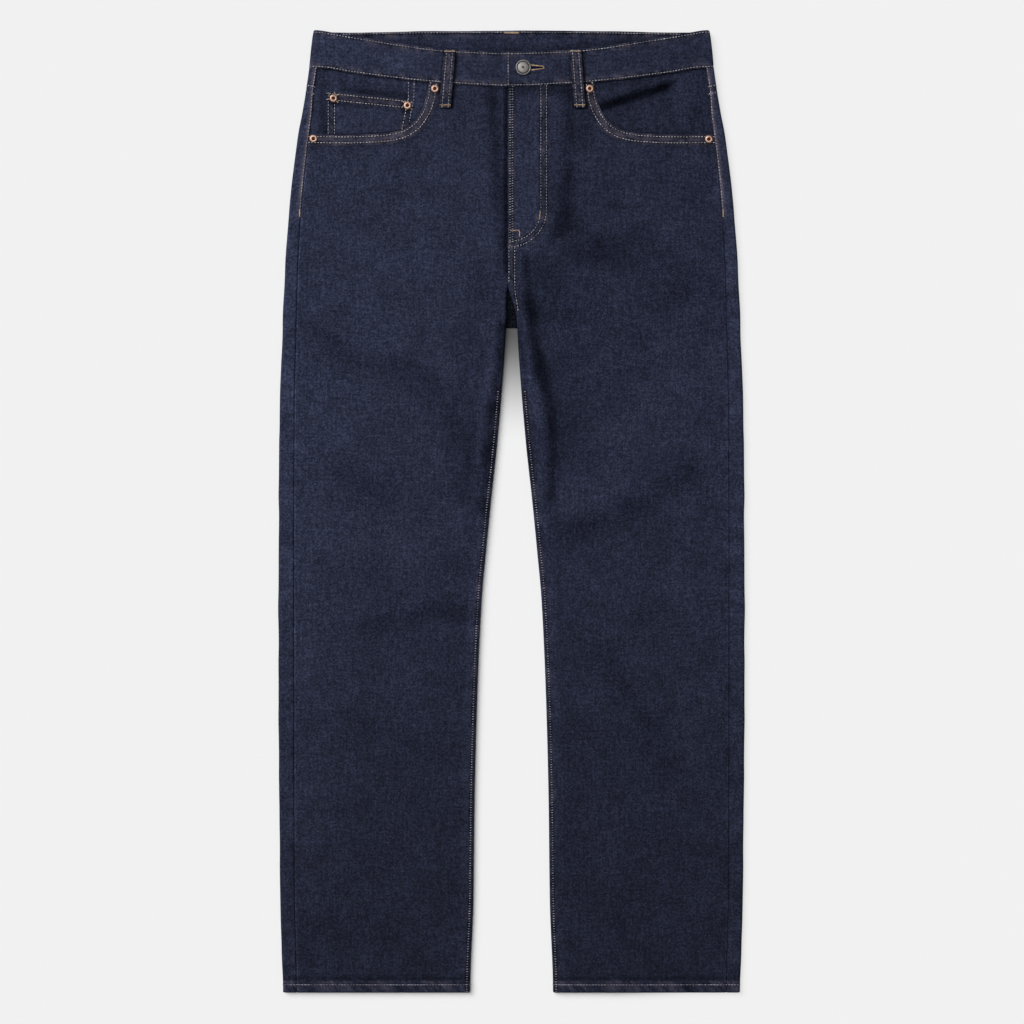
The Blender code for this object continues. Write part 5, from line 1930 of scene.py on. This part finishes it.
def sew_buttonhole():
    """The threads round the buttonhole, and the tack of the centre back loop inside the band."""
    start = BUTTON.offset + BUTTON_RADIUS - 0.3
    upper = [(start, 2.9), (BUTTONHOLE_END - 3.0, 1.7), (BUTTONHOLE_END + 0.8, 1.0)]
    ring = [*upper, (BUTTONHOLE_END + 1.4, 0.0), *((x, -rise) for x, rise in reversed(upper))]
    stitch("buttonhole_threads", drop(np.add(ring, (0.0, BUTTON.height)), ["band_cloth"], step=0.4),
           BUTTONHOLE_THREAD, 8)
    top_edge = LAID["band_cloth"].points[-1]
    middle = np.argsort(np.abs(top_edge[:, 0]) + 100.0 * (top_edge[:, 2] > 4.0))[:6]
    x = float(top_edge[middle, 0].mean()) + np.linspace(-8.0, 8.0, 20)
    points = place(x, 1102.6, BAND_BACK + BAND_WALL + 0.2)
    stitch("centre_tack", [Trail(points, np.tile([0.0, 0.0, 1.0], (20, 1)))], CENTRE_TACK, 9)


class JEANS_OT_metal(bpy.types.Operator):
    """Set the button and the rivets"""
    bl_idname = "jeans.metal"
    bl_label = "Button and rivets"

    def execute(self, context):
        button_piece()
        rivet_piece()
        return {"FINISHED"}


class JEANS_OT_stage(bpy.types.Operator):
    """Set the floor, the lights and the camera"""
    bl_idname = "jeans.stage"
    bl_label = "Stage"

    def execute(self, context):
        stage = context.scene.jeans_stage
        mesh = bpy.data.meshes.new("floor")
        corners = [(x * FLOOR_REACH, y * FLOOR_REACH, FLOOR_DROP)
                   for x, y in ((-1, -1), (1, -1), (1, 1), (-1, 1))]
        mesh.from_pydata(corners, [], [(0, 1, 2, 3)])
        mesh.materials.append(floor_finish(tuple(stage.paper)))
        linked("floor", mesh)
        for name, strength, spread, towards in (
                ("key_light", stage.key, 38.0, Vector((-0.72, 0.58, 0.8))),
                ("fill_light", stage.fill, 30.0, Vector((-0.16, 0.14, 1.0)))):
            light = bpy.data.lights.new(name, "SUN")
            light.energy = strength
            light.angle = math.radians(spread)
            lamp = linked(name, light)
            lamp.rotation_euler = towards.to_track_quat("Z", "Y").to_euler()
            lamp.location = towards
        world = bpy.data.worlds.new("Studio")
        world.use_nodes = True
        fill(world.node_tree, world.node_tree.nodes["Background"],
             {"Color": (1.0, 1.0, 1.0, 1.0), "Strength": stage.air})
        context.scene.world = world
        context.scene.view_settings.view_transform = "Standard"
        lens = bpy.data.cameras.new("camera")
        lens.lens = stage.lens
        lens.sensor_width = FULL_FRAME
        camera = linked("camera", lens)
        camera.location = (CAMERA_X * MM, CAMERA_Y * MM, stage.distance)
        context.scene.camera = camera
        return {"FINISHED"}


STEPS = (JEANS_OT_finishes, JEANS_OT_backs, JEANS_OT_pockets, JEANS_OT_fronts, JEANS_OT_waistband,
         JEANS_OT_loops, JEANS_OT_stitching, JEANS_OT_metal, JEANS_OT_stage)


class JEANS_PT_panel(bpy.types.Panel):
    """Lists the steps that build the jeans, with their sizes and colours"""
    bl_label = "Jeans"
    bl_idname = "JEANS_PT_panel"
    bl_space_type = "VIEW_3D"
    bl_region_type = "UI"
    bl_category = "Jeans"

    def draw(self, context):
        for group in (context.scene.jeans_sizes, context.scene.jeans_colours, context.scene.jeans_stage):
            for key in group.__annotations__:
                self.layout.prop(group, key)
        for step in STEPS:
            self.layout.operator(step.bl_idname)


GROUPS = {"jeans_colours": JeansColours, "jeans_sizes": JeansSizes, "jeans_stage": JeansStage}


def register():
    for group in GROUPS.values():
        bpy.utils.register_class(group)
    for name, group in GROUPS.items():
        setattr(bpy.types.Scene, name, bpy.props.PointerProperty(type=group))
    for step in STEPS:
        bpy.utils.register_class(step)
    bpy.utils.register_class(JEANS_PT_panel)


def unregister():
    bpy.utils.unregister_class(JEANS_PT_panel)
    for step in reversed(STEPS):
        bpy.utils.unregister_class(step)
    for name, group in GROUPS.items():
        delattr(bpy.types.Scene, name)
        bpy.utils.unregister_class(group)


def main():
    register()
    bpy.ops.jeans.finishes()
    bpy.ops.jeans.backs()
    bpy.ops.jeans.pockets()
    bpy.ops.jeans.fronts()
    bpy.ops.jeans.waistband()
    bpy.ops.jeans.loops()
    bpy.ops.jeans.stitching()
    bpy.ops.jeans.metal()
    bpy.ops.jeans.stage()


if __name__ == "__main__":
    main()
